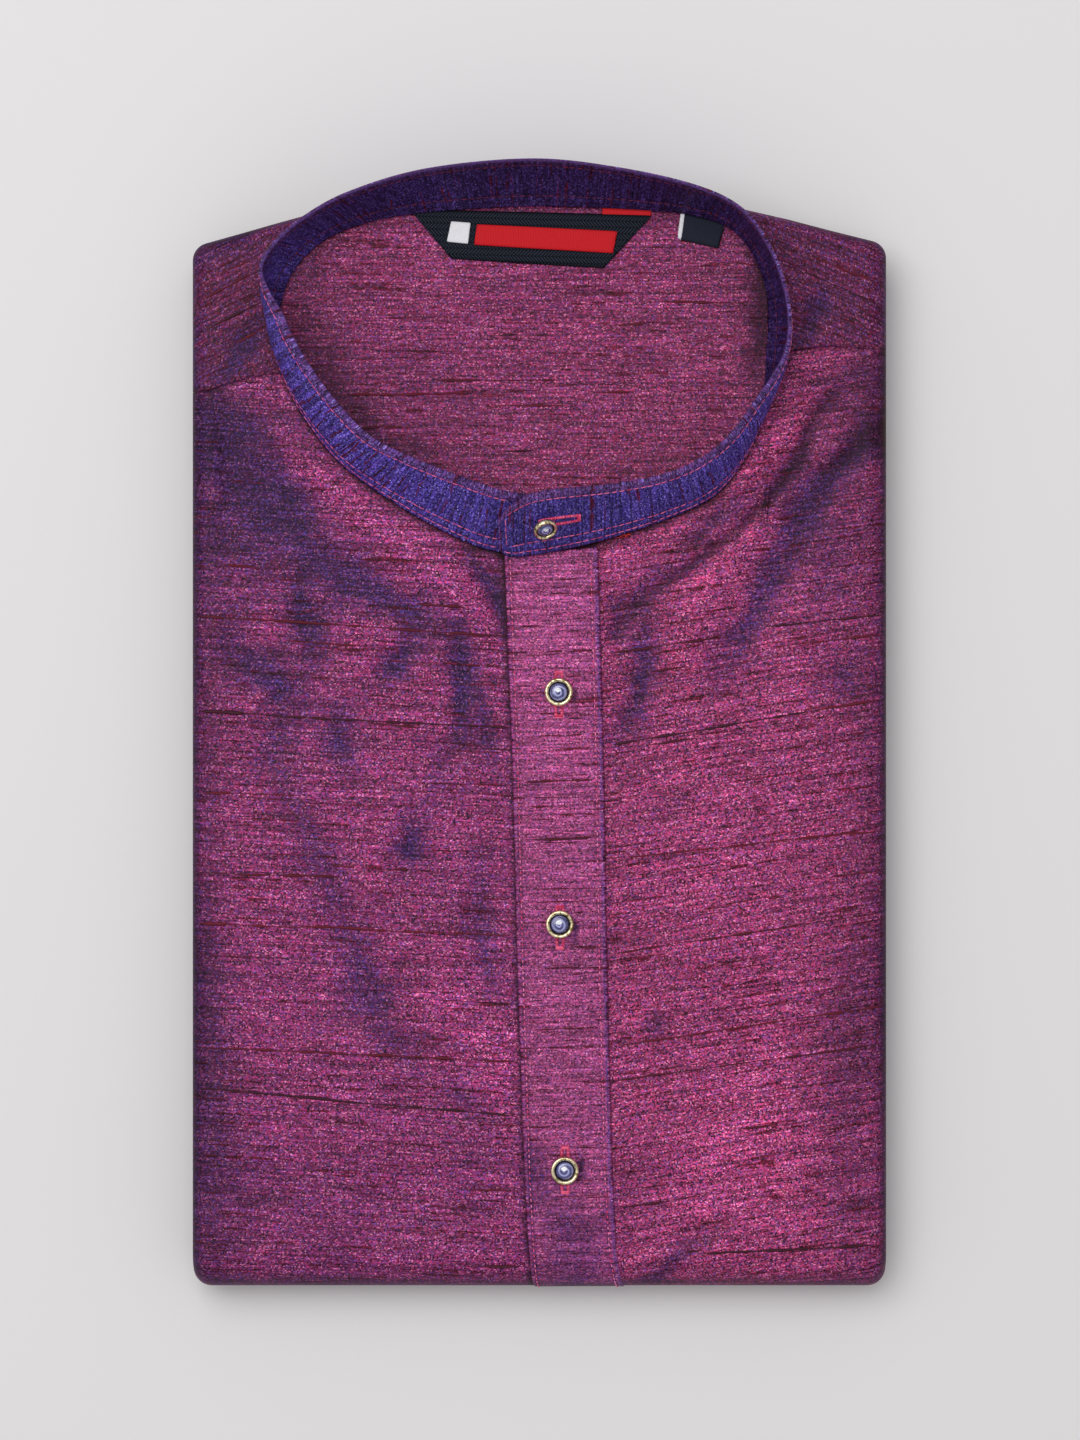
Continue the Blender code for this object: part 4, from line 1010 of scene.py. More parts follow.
inset = neck_edge(ring_places, BACK_INSET)
ends = np.argmin(inset[:, 0]), np.argmax(inset[:, 0])
back_line = inset[ends[0]:ends[1] + 1]
front_line = np.concatenate([inset[:ends[0] + 1][::-1], inset[ends[1]:][::-1]])
front_line = front_line[np.argsort(front_line[:, 0])]
back_line = back_line[np.argsort(back_line[:, 0])]
span = (1 - np.cos(np.linspace(0.03, 1 - 0.03, BACK_COLUMNS) * math.pi)) / 2
x = blend(inset[ends[0], 0], inset[ends[1], 0], span)[None, :]
share = np.linspace(0, 1, BACK_ROWS)[:, None]
low = np.interp(x, front_line[:, 0], front_line[:, 1])
high = np.interp(x, back_line[:, 0], back_line[:, 1])
y = blend(low, high, share)
x = x + 0 * y
height, shade, dusk = fold_masks(x, y, BACK_FOLDS)
edge_distance = np.minimum(share, 1 - share) * (high - low)
relief = (height + soft_waves(x, y, 12, 0.18)) * smooth_step(edge_distance / 8.0)
outer = np.stack([x, y, dish_height(x, y) + relief], -1)
normals = surface_normals(outer)
# Painted shade and shadow of the creases, and painted shadow of the band all along the dish's edge
masks = {
    "thread": weft_place(x, y, 0.0, 6.0),
    "shade": shade,
    "dusk": dusk + 0.35 * close_to(edge_distance, 3.0),
    "rim": np.zeros_like(x),
}
back_silk = silk_material("back_silk", lit=BACK_LIT)
inner_back = cloth_shell("inner_back_cloth", outer, outer - normals * CLOTH, back_silk, masks)
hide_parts("inner_back")
back_slubs = thread_runs("back_slubs", slub_runs(BACK_SLUBS, dish_height, 23), SLUB_SIDES, slub_silk)

# The stand collar
# A band of two layers of the silk and an interlining, cut with the weft across it, so that it shows blue
# violet with short red slubs. It is turned out at the top edge and topstitched near all its edges, and its
# rounded tab laps over the other end.
COLLAR_HALF = 0.8
BAND_HEIGHT = 22.0
# BAND_LIT is the band's blue violet as its cross weft catches the light, partly painted light; BAND_TURNED
# is its painted shade and BAND_GLINT its painted glints
BAND_LIT = (0.074, 0.040, 0.300)
BAND_TURNED = (0.015, 0.009, 0.082)
BAND_EDGE = (0.120, 0.034, 0.120)
BAND_GLINT = (0.36, 0.30, 0.80)
BAND_SEAMS = (0.055, 0.20, 0.885)
TAB_END = len(COLLAR) - 1


def collar_points(station, height, off=0.0):
    """Points at a height of the band, off its middle surface outwards, and the outward direction."""
    row = along_table(COLLAR, station)
    after = along_table(COLLAR, station + 0.05)
    before = along_table(COLLAR, station - 0.05)
    seam_x, seam_y, edge_x, edge_y, rise, bow, lift = (row[..., k] for k in range(7))
    chord = np.stack([edge_x - seam_x, edge_y - seam_y, rise], -1)
    step = after - before
    step_x = step[..., 0] + step[..., 2]
    step_y = step[..., 1] + step[..., 3]
    along = np.stack([step_x, step_y, step[..., 4] + 2 * step[..., 6]], -1)
    out = unit(np.cross(chord, along))
    foot = unit(np.cross(chord + out * 4 * bow[..., None], along))
    seat = TOP + GAP + COLLAR_HALF * np.abs(foot[..., 2]) + lift
    seam = np.stack([seam_x, seam_y, seat], -1)
    height = np.asarray(height)[..., None]
    bulge = 4 * bow[..., None] * height * (1 - height)
    return seam + chord * height + out * (bulge + np.asarray(off)[..., None]), out


def band_offset(station, height):
    """How far each face of the band stands off its middle: padded between the lines of stitches."""
    pad = COLLAR_HALF + 0.0 * height
    for seam in BAND_SEAMS:
        pad = pad - 0.22 * close_to(height - seam, 0.03)
    ripple = 0.10 * np.sin(station * 7.0 + 2 * np.sin(station * 2.3)) * np.sin(height * math.pi)
    return pad + ripple + 0.08 * np.sin(height * math.pi)


def distance_along(path):
    """How far along a path of points each of them lies."""
    return np.concatenate([[0], np.cumsum(np.linalg.norm(np.diff(path, axis=0), axis=1))])


station = np.linspace(0, TAB_END, TAB_END * 12 + 1)[:, None]
height = np.linspace(0, 1, 34)[None, :]
station, height = np.broadcast_arrays(station, height)
off = band_offset(station, height)
outer, _ = collar_points(station, height, off)
inner, _ = collar_points(station, height, -off)
looks = along_table(COLLAR, station)
band_length = distance_along(outer[:, 10])[:, None]
near_stitch = sum(close_to(height - seam, 0.018) for seam in BAND_SEAMS)
top_rim = smooth_step((height - 0.875) / 0.03)
tip = smooth_step((station - TAB_END + 0.35) / 0.3)
# Painted shade station by station on the band's outside, with painted shadow along its stitches and at its
# foot; its inside takes more painted shade and shadow, as it turns away from the light
outside = {
    "thread": np.stack([height * BAND_HEIGHT, band_length + 0 * height, 0 * height + 9.0], -1),
    "shade": looks[..., 7],
    "dusk": 0.35 * near_stitch + 0.3 * close_to(height, 0.02),
    "rim": np.clip(0.7 * top_rim + 0.4 * tip, 0, 1),
}
inside = {
    "thread": np.stack([height * BAND_HEIGHT + 40.0, band_length + 0 * height, 0 * height + 12.0], -1),
    "shade": looks[..., 8] * 1.25,
    "dusk": 0.2 * near_stitch + 0.5 * looks[..., 8],
    "rim": 0.35 * top_rim,
}
band_silk = silk_material("band_silk", BAND_LIT, BAND_TURNED, BAND_EDGE, BAND_GLINT)
collar = cloth_shell("collar_band", outer, inner, band_silk, outside, inside)
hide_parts("collar_stand")

# Short slubs across the band, at stations and between two heights
BAND_SLUBS = (
    (1.3, 0.3, 0.7), (1.9, 0.15, 0.55), (2.5, 0.3, 0.98), (3.0, 0.1, 0.5), (3.25, 0.2, 0.8),
    (3.45, 0.15, 0.6), (3.6, 0.4, 0.9), (3.8, 0.2, 0.75), (4.05, 0.15, 0.9), (4.3, 0.1, 0.5),
    (4.5, 0.3, 0.95), (4.85, 0.2, 0.7), (5.1, 0.15, 0.85), (5.5, 0.2, 0.9), (5.8, 0.1, 0.7),
    (6.3, 0.2, 0.6), (26.6, 0.2, 0.8), (25.9, 0.3, 0.7), (24.3, 0.2, 0.8), (15.5, 0.1, 0.5),
    (12.4, 0.2, 0.6), (17.5, 0.2, 0.6), (19.0, 0.3, 0.7), (9.0, 0.2, 0.7), (22.5, 0.3, 0.8),
)
INNER_SLUBS = ((14.1, 0.1, 0.55), (15.9, 0.05, 0.5), (12.6, 0.3, 0.7), (17.4, 0.1, 0.5), (13.4, 0.2, 0.45))


def band_slub_runs(table, face, seed):
    """Slubs across the band: face is 1 for its outside and -1 for its inside."""
    draw = np.random.default_rng(seed)
    runs = []
    share = np.linspace(0, 1, 16)
    taper = np.minimum(1, np.minimum(share, 1 - share) * 6 + 0.1)
    for place, start, end in table:
        heights = blend(start, end, share)
        stations = place + 0.02 * np.cumsum(draw.normal(0, 0.4, 16))
        line, out = collar_points(stations, heights, face * (band_offset(stations, heights) - 0.08))
        radius = 0.34 * np.clip(0.75 + draw.normal(0, 0.3, 16), 0.3, 1.4) * taper
        runs.append((line, radius, out * face))
    return runs


band_runs = band_slub_runs(BAND_SLUBS, 1, 31) + band_slub_runs(INNER_SLUBS, -1, 32)
band_slubs = thread_runs("collar_slubs", band_runs, SLUB_SIDES, slub_silk)


Stitching = namedtuple("Stitching", "pitch fill radius")
BAND_STITCHING = Stitching(2.6, 0.9, 0.18)
TIP_STITCHING = Stitching(2.6, 0.9, 0.162)
STITCH_ARCH = np.array([-0.7, 0.0, 0.35, 0.35, 0.0, -0.7])
STITCH_SWELL = np.array([0.45, 0.95, 1.1, 1.1, 0.95, 0.45])


def stitch_runs(path, up, stitching, seed):
    """A line of stitches along a path of points: each a short arch that dips into the cloth at its ends."""
    pitch, fill, radius = stitching
    path = np.asarray(path, float)
    up = np.broadcast_to(np.asarray(up, float), path.shape)
    travelled = distance_along(path)
    draw = np.random.default_rng(seed)
    runs = []
    for k in range(int(travelled[-1] / pitch)):
        start = (k + 0.5 * (1 - fill)) * pitch + draw.normal(0, 0.04 * pitch)
        at = start + np.linspace(0, 1, 6) * fill * pitch * draw.uniform(0.9, 1.08)
        line = np.stack([np.interp(at, travelled, path[:, i]) for i in range(3)], 1)
        over = np.stack([np.interp(at, travelled, up[:, i]) for i in range(3)], 1)
        arch = STITCH_ARCH * radius
        skew = unit(np.cross(over, np.gradient(line, axis=0)))
        line = line + over * arch[:, None] + skew * np.linspace(-1, 1, 6)[:, None] * draw.normal(0.05, 0.05)
        runs.append((line, radius * STITCH_SWELL, over))
    return runs


THREAD_SIDES = 6
BAND_STITCH_OUT = 0.06
BAND_STITCH_POINTS = 1200
TIP_POINTS = 60
TIP_INSET = 0.75
TIP_PAD_STATION = 31.3
PINK_THREAD = ((0.86, 0.17, 0.36), (0.42, 0.04, 0.14))
RED_THREAD = ((0.16, 0.012, 0.05), (0.06, 0.006, 0.03))


def band_stitches(height, start, end, face, seed):
    stations = np.linspace(start, end, BAND_STITCH_POINTS)
    heights = np.full(BAND_STITCH_POINTS, height)
    off = face * (band_offset(stations, heights) + BAND_STITCH_OUT)
    line, out = collar_points(stations, heights, off)
    return stitch_runs(line, out * face, BAND_STITCHING, seed)


# The tab's rounded tip has a line of its own between the lower and the upper one
tip_heights = np.linspace(0.20, 0.885, TIP_POINTS)
tip_off = band_offset(np.full(TIP_POINTS, TIP_PAD_STATION), tip_heights) + BAND_STITCH_OUT
tip_line, tip_out = collar_points(np.full(TIP_POINTS, TAB_END - TIP_INSET), tip_heights, tip_off)
outer_stitches = []
for seed, height in enumerate(BAND_SEAMS):
    outer_stitches += band_stitches(height, 1.05, TAB_END - TIP_INSET * (height > 0.1), 1, 40 + seed)
outer_stitches += stitch_runs(tip_line, tip_out, TIP_STITCHING, 44)
pink_thread = yarn_material("pink_thread", *PINK_THREAD)
collar_stitches = thread_runs("collar_stitches", outer_stitches, THREAD_SIDES, pink_thread)
inner_stitches = band_stitches(0.20, 5.0, 25.0, -1, 50) + band_stitches(0.885, 5.0, 25.0, -1, 51)
red_thread = yarn_material("dark_red_thread", *RED_THREAD)
collar_stitches_inside = thread_runs("collar_stitches_inside", inner_stitches, THREAD_SIDES, red_thread)

# Red nub of loose yarn, caught in the seam below the band
NUB_PLACE = (31.0, 69.4)
NUB_SWELL = np.array([0.3, 0.8, 1, 1.1, 1, 0.8, 0.3])
draw = np.random.default_rng(55)
nub_runs = []
for k in range(7):
    reach = np.linspace(-1, 1, 7) * draw.uniform(1.0, 2.6)
    x = NUB_PLACE[0] + reach + draw.normal(0, 0.5)
    y = NUB_PLACE[1] + 0.35 * reach + draw.normal(0, 0.35) + 0.3 * np.sin(reach * 2 + k)
    z = TOP + 0.35 + draw.uniform(0, 0.35) + 0.2 * np.cos(reach * 1.5)
    nub_runs.append((np.stack([x, y, z], 1), 0.2 * NUB_SWELL, (0, 0, 1)))
nub_yarn = yarn_material("nub_yarn", (0.80, 0.06, 0.05), (0.25, 0.01, 0.03))
seam_nub = thread_runs("seam_nub", nub_runs, THREAD_SIDES, nub_yarn)

# The placket
# A folded strip of the silk, 31 mm wide, sewn down over the fronts' meeting edges with a line of pink
# stitches along each side. The seam allowance stands as a narrow blue ridge along the viewer's right edge.
PLACKET_CLOTH = 1.3
PLACKET_OUT = GAP + PLACKET_CLOTH
PLACKET_PRESSED = 0.35
PLACKET_TOP = ((-12.0, 62.2), (20.4, 64.6))
# PLACKET_LIT is a lighter copy of the silk: painted light on the raised placket
PLACKET_LIT = (0.350, 0.050, 0.165)
RIDGE_VIOLET = (0.085, 0.036, 0.20)
PLACKET_WEFT = math.radians(1.6)
STITCH_INSET = 1.3
RIDGE_INSET = 0.9
PLACKET_FLATTENED = 0.7
PLACKET_ROWS = 280
PLACKET_STITCHING = Stitching(2.0, 0.62, 0.22)
PLACKET_STITCH_OUT = 0.05
PATH_POINTS = 900
# Creases of the placket, a painted highlight down its upper half, painted shade at the bottom fold, and the
# painted shadows that the three buttons cast beside their right-hand edges
PLACKET_FOLDS = (
    Fold(((6, -88), (10, -104)), 12.0, 0.1, -0.08, 0.0),
    Fold(((4, -172), (12, -182), (13, -204)), 13.0, -0.15, 0.58, 0.0),
    Fold(((5, 66), (6, 20), (7, -30)), 17.0, 0.0, -0.15, 0.0),
    Fold(((-3, -150), (0, -166)), 5.0, -0.15, 0.5, 0.0),
    Fold(((14.9, -154.0), (15.2, -158.0), (14.6, -162.5)), 1.3, -0.1, 0.9, 0.5),
    Fold(((12.6, 14.5), (12.8, 11.0), (12.0, 7.8)), 1.1, -0.1, 0.8, 0.5),
    Fold(((13.0, -69.0), (13.2, -73.0), (12.4, -76.0)), 1.1, -0.1, 0.8, 0.5),
)
PLACKET_SLUBS = (
    Slub(1.0, 53.2, 16.5, 54.0, 0.26),
    Slub(1.7, 48.4, 14.1, 48.9, 0.16),
    Slub(-7.7, 26.1, 7.1, 26.8, 0.16),
    Slub(-9.0, 5.5, -1.0, 5.9, 0.16),
    Slub(7.5, 3.5, 19.0, 3.9, 0.16),
    Slub(-6.0, -3.2, 6.5, -2.7, 0.18),
    Slub(5.0, -7.6, 19.5, -7.0, 0.18),
    Slub(-6.5, -19.5, 20.5, -18.3, 0.28),
    Slub(-5.5, -28.3, 5.4, -27.9, 0.18),
    Slub(-5.5, -33.2, 7.5, -32.6, 0.18),
    Slub(7.0, -37.4, 19.5, -36.8, 0.2),
    Slub(-6.0, -40.2, 20.8, -39.0, 0.28),
    Slub(-5.0, -41.4, 16.0, -40.6, 0.2),
    Slub(-2.0, -62.7, 20.6, -61.6, 0.2),
    Slub(-4.5, -108.6, 22.0, -107.3, 0.26),
    Slub(-3.2, -151.7, 5.5, -151.5, 0.26),
    Slub(11.5, -150.9, 22.5, -150.5, 0.2),
    Slub(4.0, -168.6, 21.5, -168.0, 0.24),
    Slub(1.5, -184.6, 17.0, -184.1, 0.2),
)
PLACKET_TURNS = END_TURNS[END_TURNS <= math.radians(144.0)]


def placket_relief(x, y):
    left, right = placket_edges(y)
    relief, shade, dusk = fold_masks(x, y, PLACKET_FOLDS)
    relief = relief + soft_waves(x, y, 15, 0.12)
    # The stitch lines sink, with painted shade in their channels
    for seam in (left + STITCH_INSET, right - STITCH_INSET - RIDGE_INSET):
        relief = relief - 0.16 * close_to(x - seam, 0.5)
        shade = shade + 0.5 * close_to(x - seam, 0.6)
    ridge = close_to(x - right + RIDGE_INSET / 2, 0.42)
    return relief + 0.3 * ridge, shade, dusk, ridge


def placket_lift(y):
    """Height of the placket's face over the fronts, less where it is pressed into the bottom fold."""
    return blend(PLACKET_OUT, PLACKET_PRESSED, near_end(y))


def placket_height(x, y):
    return TOP + placket_lift(y) + placket_relief(x, y)[0] * (1 - PLACKET_FLATTENED * near_end(y))


share = np.concatenate([[0, 0.012, 0.03], np.linspace(0.05, 0.93, 30), [0.95, 0.965, 0.98, 0.99, 1]])[None]
down = np.concatenate([np.linspace(0, 1, PLACKET_ROWS), np.ones(len(PLACKET_TURNS))])[:, None]
turn = np.concatenate([np.zeros(PLACKET_ROWS), PLACKET_TURNS])[:, None]
left, right = placket_edges(60.0)
(left_x, left_y), (right_x, right_y) = PLACKET_TOP
top = blend(left_y, right_y, (blend(left, right, share) - left_x) / (right_x - left_x))
y = blend(top, END_AXIS, down)
unrolled = y - END_FOLD * turn
left, right = placket_edges(unrolled)
x = blend(left, right, share)
relief, shade, dusk, ridge = placket_relief(x, unrolled)
pressed = PLACKET_FLATTENED * near_end(y)
outer = roll(x, y, -placket_lift(y) - relief * (1 - pressed), turn)
inner = roll(x, y, -GAP + pressed + 0 * relief, turn)
steep = smooth_step((turn - 0.2) / 1.2) + 0 * x
stitch_dip = close_to(x - left - STITCH_INSET, 0.45)
masks = {
    "thread": weft_place(x, unrolled, PLACKET_WEFT, 15.0),
    # Painted shade and shadow round the bottom fold, and painted shadow in the left stitch channel
    "shade": shade + 0.5 * steep,
    "dusk": dusk + 0.25 * steep + 0.25 * stitch_dip,
    "rim": np.clip(0.85 * ridge + 0.15 * close_to(x - left, 0.6), 0, 1),
}
placket_silk = silk_material("placket_silk", PLACKET_LIT, edge=RIDGE_VIOLET)
placket = cloth_shell("placket_cloth", outer, inner, placket_silk, masks)
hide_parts("placket")


def placket_path(inset, from_left):
    """Points down the placket and round the bottom fold, inset from an edge, with their up directions."""
    y = np.linspace(61.0, END_AXIS, PATH_POINTS)
    turns = np.linspace(0, PLACKET_TURNS[-1], 120)[1:]
    left, right = placket_edges(np.concatenate([y, END_AXIS - END_FOLD * turns]))
    x = left + inset if from_left else right - inset
    on_top, below = x[:PATH_POINTS], x[PATH_POINTS:]
    flat = np.stack([on_top, y, placket_height(on_top, y) + PLACKET_STITCH_OUT], 1)
    reach = END_FOLD + PLACKET_PRESSED + PLACKET_STITCH_OUT
    under = np.stack([below, END_AXIS - reach * np.sin(turns), END_FOLD + reach * np.cos(turns)], 1)
    up_under = np.stack([0 * turns, -np.sin(turns), np.cos(turns)], 1)
    return np.concatenate([flat, under]), np.concatenate([np.tile([0, 0, 1.0], (PATH_POINTS, 1)), up_under])


placket_runs = []
for seed, (inset, from_left) in enumerate(((STITCH_INSET, True), (STITCH_INSET + RIDGE_INSET, False))):
    placket_runs += stitch_runs(*placket_path(inset, from_left), PLACKET_STITCHING, 60 + seed)
placket_thread = yarn_material("placket_thread", (0.98, 0.27, 0.52), (0.66, 0.03, 0.13))
placket_stitches = thread_runs("placket_stitches", placket_runs, THREAD_SIDES, placket_thread)
placket_slub_runs = slub_runs(PLACKET_SLUBS, placket_height, 24)
placket_slubs = thread_runs("placket_slubs", placket_slub_runs, SLUB_SIDES, slub_silk)

# The yoke seams
# Each yoke edge is turned under and topstitched to its front, and the stitches show as short dashes in red
# and paler thread beside the join.
SeamLine = namedtuple("SeamLine", "seam side start end off")
SEAM_LINES = (SeamLine(RIGHT_SEAM, -1, -94.0, -124.0, 1.0), SeamLine(LEFT_SEAM, 1, 85.5, 124.0, 1.1))
YOKE_STITCHING = Stitching(2.3, 0.7, 0.17)
seam_runs = []
for number, line in enumerate(SEAM_LINES):
    x = np.linspace(line.start, line.end, 200)
    y = seam_height(line.seam, x) + line.off
    over = np.maximum(np.abs(x) - SIDE_LINE, 0)
    z = TOP - SIDE_FOLD + np.sqrt(np.maximum(SIDE_FOLD**2 - over**2, 0)) + 0.05
    tilt = over / SIDE_FOLD * line.side
    up = np.stack([tilt, 0 * x, np.sqrt(1 - tilt**2)], 1)
    seam_runs += stitch_runs(np.stack([x, y, z], 1), up, YOKE_STITCHING, 70 + number)
seam_thread = yarn_material("seam_thread", (0.42, 0.07, 0.14), (0.10, 0.01, 0.05))
yoke_stitches = thread_runs("yoke_stitches", seam_runs, THREAD_SIDES, seam_thread)

# The buttonholes
# Each is worked by machine in red-pink thread: two columns of close stitches beside the slit, with a bar at
# each end. Those of the placket run along it, and the one of the tab runs along the band.
HoleRow = namedtuple("HoleRow", "x y length")
HOLES = (HoleRow(7.0, 12.2, 16.6), HoleRow(7.4, -71.6, 15.5), HoleRow(9.2, -158.8, 17.0))
HOLE_HALF = 1.25
HOLE_COLUMN = 1.15
HOLE_SQUEEZE = 0.28
HOLE_PITCH = 0.42
HOLE_THREAD = 0.2
BAR_THREAD = 0.22
STITCH_LIFT = np.array([-0.1, 0.14, 0.2, 0.14, -0.1])
STITCH_THICKNESS = np.array([0.6, 1, 1.05, 1, 0.6])
BAR_LIFT = np.array([-0.05, 0.2, 0.3, 0.32, 0.3, 0.2, -0.05])


def hole_runs(length, place, seed):
    """Stitches of a buttonhole. place maps distances along and across it to points and up directions."""
    draw = np.random.default_rng(seed)
    runs = []
    count = int(length / HOLE_PITCH)
    for side in (-1, 1):
        for k in range(count):
            along = (k / (count - 1) - 0.5) * length
            middle = side * HOLE_HALF * (1 - HOLE_SQUEEZE * (2 * along / length) ** 4)
            across = middle + np.linspace(-0.5, 0.5, 5) * HOLE_COLUMN * draw.uniform(0.85, 1.1)
            line, up = place(np.full(5, along + draw.normal(0, 0.05)) + across * 0.06 * side, across)
            runs.append((line + up * STITCH_LIFT[:, None], HOLE_THREAD * STITCH_THICKNESS, up))
    for end in (-1, 1):
        for k in range(3):
            across = np.linspace(-1, 1, 7) * (HOLE_HALF * (1 - HOLE_SQUEEZE) + HOLE_COLUMN / 2)
            line, up = place(np.full(7, end * (length / 2 - k * HOLE_PITCH)), across)
            runs.append((line + up * BAR_LIFT[:, None], np.full(7, BAR_THREAD), up))
    return runs


hole_thread = yarn_material("buttonhole_thread", (0.98, 0.17, 0.34), (0.52, 0.012, 0.08))
placket_holes = []
for number, hole in enumerate(HOLES):
    def on_placket(along, across, hole=hole):
        x, y = hole.x + across, hole.y + along
        return np.stack([x, y, placket_height(x, y)], 1), np.tile([0.0, 0.0, 1.0], (len(x), 1))

    placket_holes += hole_runs(hole.length, on_placket, 80 + number)
buttonholes = thread_runs("buttonholes", placket_holes, THREAD_SIDES, hole_thread)

TAB_HOLE_STATION = 29.02
TAB_HOLE_HEIGHT = 0.50
TAB_HOLE_LENGTH = 19.5
TAB_STATION_LENGTH = 18.5
TAB_SPREAD = 0.95


def on_tab(along, across):
    stations = TAB_HOLE_STATION - along / TAB_STATION_LENGTH
    heights = TAB_HOLE_HEIGHT + across * TAB_SPREAD / BAND_HEIGHT
    return collar_points(stations, heights, band_offset(stations, heights))


tab_runs = hole_runs(TAB_HOLE_LENGTH, on_tab, 85)
tab_buttonhole = thread_runs("tab_buttonhole", tab_runs, THREAD_SIDES, hole_thread)

# The buttons
# Four turned brass buttons, 10 mm across, each a ring with a dark groove round a polished dome of blue-grey
# mother-of-pearl. Each is sewn on by a short shank of thread through its slit.
BUTTON_SCALE = 1.03
BUTTON_SIDES = 48
RIM_PROFILE = (
    (3.45, 0.75), (3.45, 1.5), (3.5, 2.0), (3.7, 2.42), (4.1, 2.66), (4.5, 2.62), (4.78, 2.4),
    (4.95, 1.9), (5.0, 1.3), (4.85, 0.7), (4.5, 0.25), (3.4, 0.05), (1.2, 0.0),
)
DOME_PROFILE = (
    (0.0, 2.75), (0.5, 2.72), (0.9, 2.62), (1.05, 2.66), (1.5, 2.55), (1.95, 2.4), (2.1, 2.42), (2.6, 2.2),
    (2.9, 1.95), (3.2, 1.55), (3.4, 1.1), (3.42, 0.7),
)
BRASS = (0.96, 0.82, 0.53)
BRASS_PAINTED_REFLECTION = (0.22, 0.18, 0.06)
PEARL_LIGHT = (0.42, 0.42, 0.76)
PEARL_CLOUD = (0.085, 0.085, 0.27)
PEARL_DARK = (0.022, 0.022, 0.125)
PEARL_PAINTED_REFLECTION = (0.97, 0.98, 1.0)
PEARL_GROOVE = (0.012, 0.012, 0.045)
PEARL_FINISH = {"Roughness": 0.22, "Coat Weight": 1.0, "Coat Roughness": 0.05}


def turned_ring(profile, sides, close):
    """Points and faces of a profile turned about +Z, whose ends are joined where close is set."""
    turns = np.arange(sides) / sides * math.tau
    profile = np.array(profile, float)
    points = np.stack([
        profile[:, :1] * np.cos(turns)[None, :],
        profile[:, :1] * np.sin(turns)[None, :],
        profile[:, 1:] + 0 * turns[None, :],
    ], -1)
    count = len(profile)
    faces = []
    for i in range(count if close else count - 1):
        for j in range(sides):
            k = (j + 1) % sides
            n = (i + 1) % count
            faces.append([i * sides + j, i * sides + k, n * sides + k, n * sides + j])
    return points.reshape(-1, 3), faces


def turned_dome(profile, sides):
    """A closed dome: the first point of the profile is its top, and its underside is flat."""
    points, faces = turned_ring(profile[1:], sides, False)
    top = len(points)
    points = np.concatenate([points, [[0, 0, profile[0][1]], [0, 0, profile[-1][1]]]])
    last = (len(profile) - 2) * sides
    for j in range(sides):
        k = (j + 1) % sides
        faces.append([top, k, j])
        faces.append([top + 1, last + j, last + k])
    return points, faces


def brass_material(name):
    """Polished brass with dark blotches of painted reflection, rougher where they lie."""
    material, tree, shader = new_material(name, {"Metallic": 1.0})
    dial = add_node(tree, "ShaderNodeAttribute", attribute_name="dial")
    blotch = noise(tree, dial.outputs["Vector"], 0.8, 3.0)
    tint = mix_colours(tree, ramp(tree, blotch, 0.44, 0.64), (*BRASS, 1.0), (*BRASS_PAINTED_REFLECTION, 1.0))
    tree.links.new(tint, shader.inputs["Base Color"])
    tree.links.new(ramp(tree, blotch, 0.3, 0.7, 0.16, 0.38), shader.inputs["Roughness"])
    return material


def pearl_material(name):
    """Blue-grey mother-of-pearl under lacquer: pale bands wind round the middle of a dark ground, with a
    painted reflection of the light a little above it.
    """
    material, tree, shader = new_material(name, PEARL_FINISH)
    dial = add_node(tree, "ShaderNodeAttribute", attribute_name="dial")
    parts = add_node(tree, "ShaderNodeSeparateXYZ", {0: dial.outputs["Vector"]})
    x, y, number = parts.outputs
    cloud = noise(tree, dial.outputs["Vector"], 0.55, 3.0)
    radius = calculate(tree, "SQRT", scaled(tree, x, x, product(tree, y, y)))
    wind = scaled(tree, radius, 4.4, scaled(tree, cloud, 3.5, calculate(tree, "ARCTAN2", y, x)))
    bands = calculate(tree, "SINE", calculate(tree, "ADD", wind, number))
    bands = ramp(tree, scaled(tree, bands, 0.5, 0.5), 0.35, 0.95)
    bands = product(tree, bands, ramp(tree, radius, 3.4, 1.0, 0.45, 0.95))
    colour = mix_colours(tree, ramp(tree, cloud, 0.3, 0.75), (*PEARL_DARK, 1.0), (*PEARL_CLOUD, 1.0))
    colour = mix_colours(tree, bands, colour, (*PEARL_LIGHT, 1.0))
    # A painted reflection: a white spot a little above the dome's middle, broken by the cloud
    glance_x = calculate(tree, "ADD", x, 0.2)
    glance_y = scaled(tree, y, 1.5, -1.1)
    glance = scaled(tree, glance_x, glance_x, product(tree, glance_y, glance_y))
    painted_reflection = product(tree, ramp(tree, glance, 1.6, 0.5), ramp(tree, cloud, 0.3, 0.5, 0.6, 1.0))
    colour = mix_colours(tree, painted_reflection, colour, (*PEARL_PAINTED_REFLECTION, 1.0))
    colour = mix_colours(tree, ramp(tree, radius, 2.85, 3.2), colour, (*PEARL_GROOVE, 1.0))
    tree.links.new(colour, shader.inputs["Base Color"])
    return material


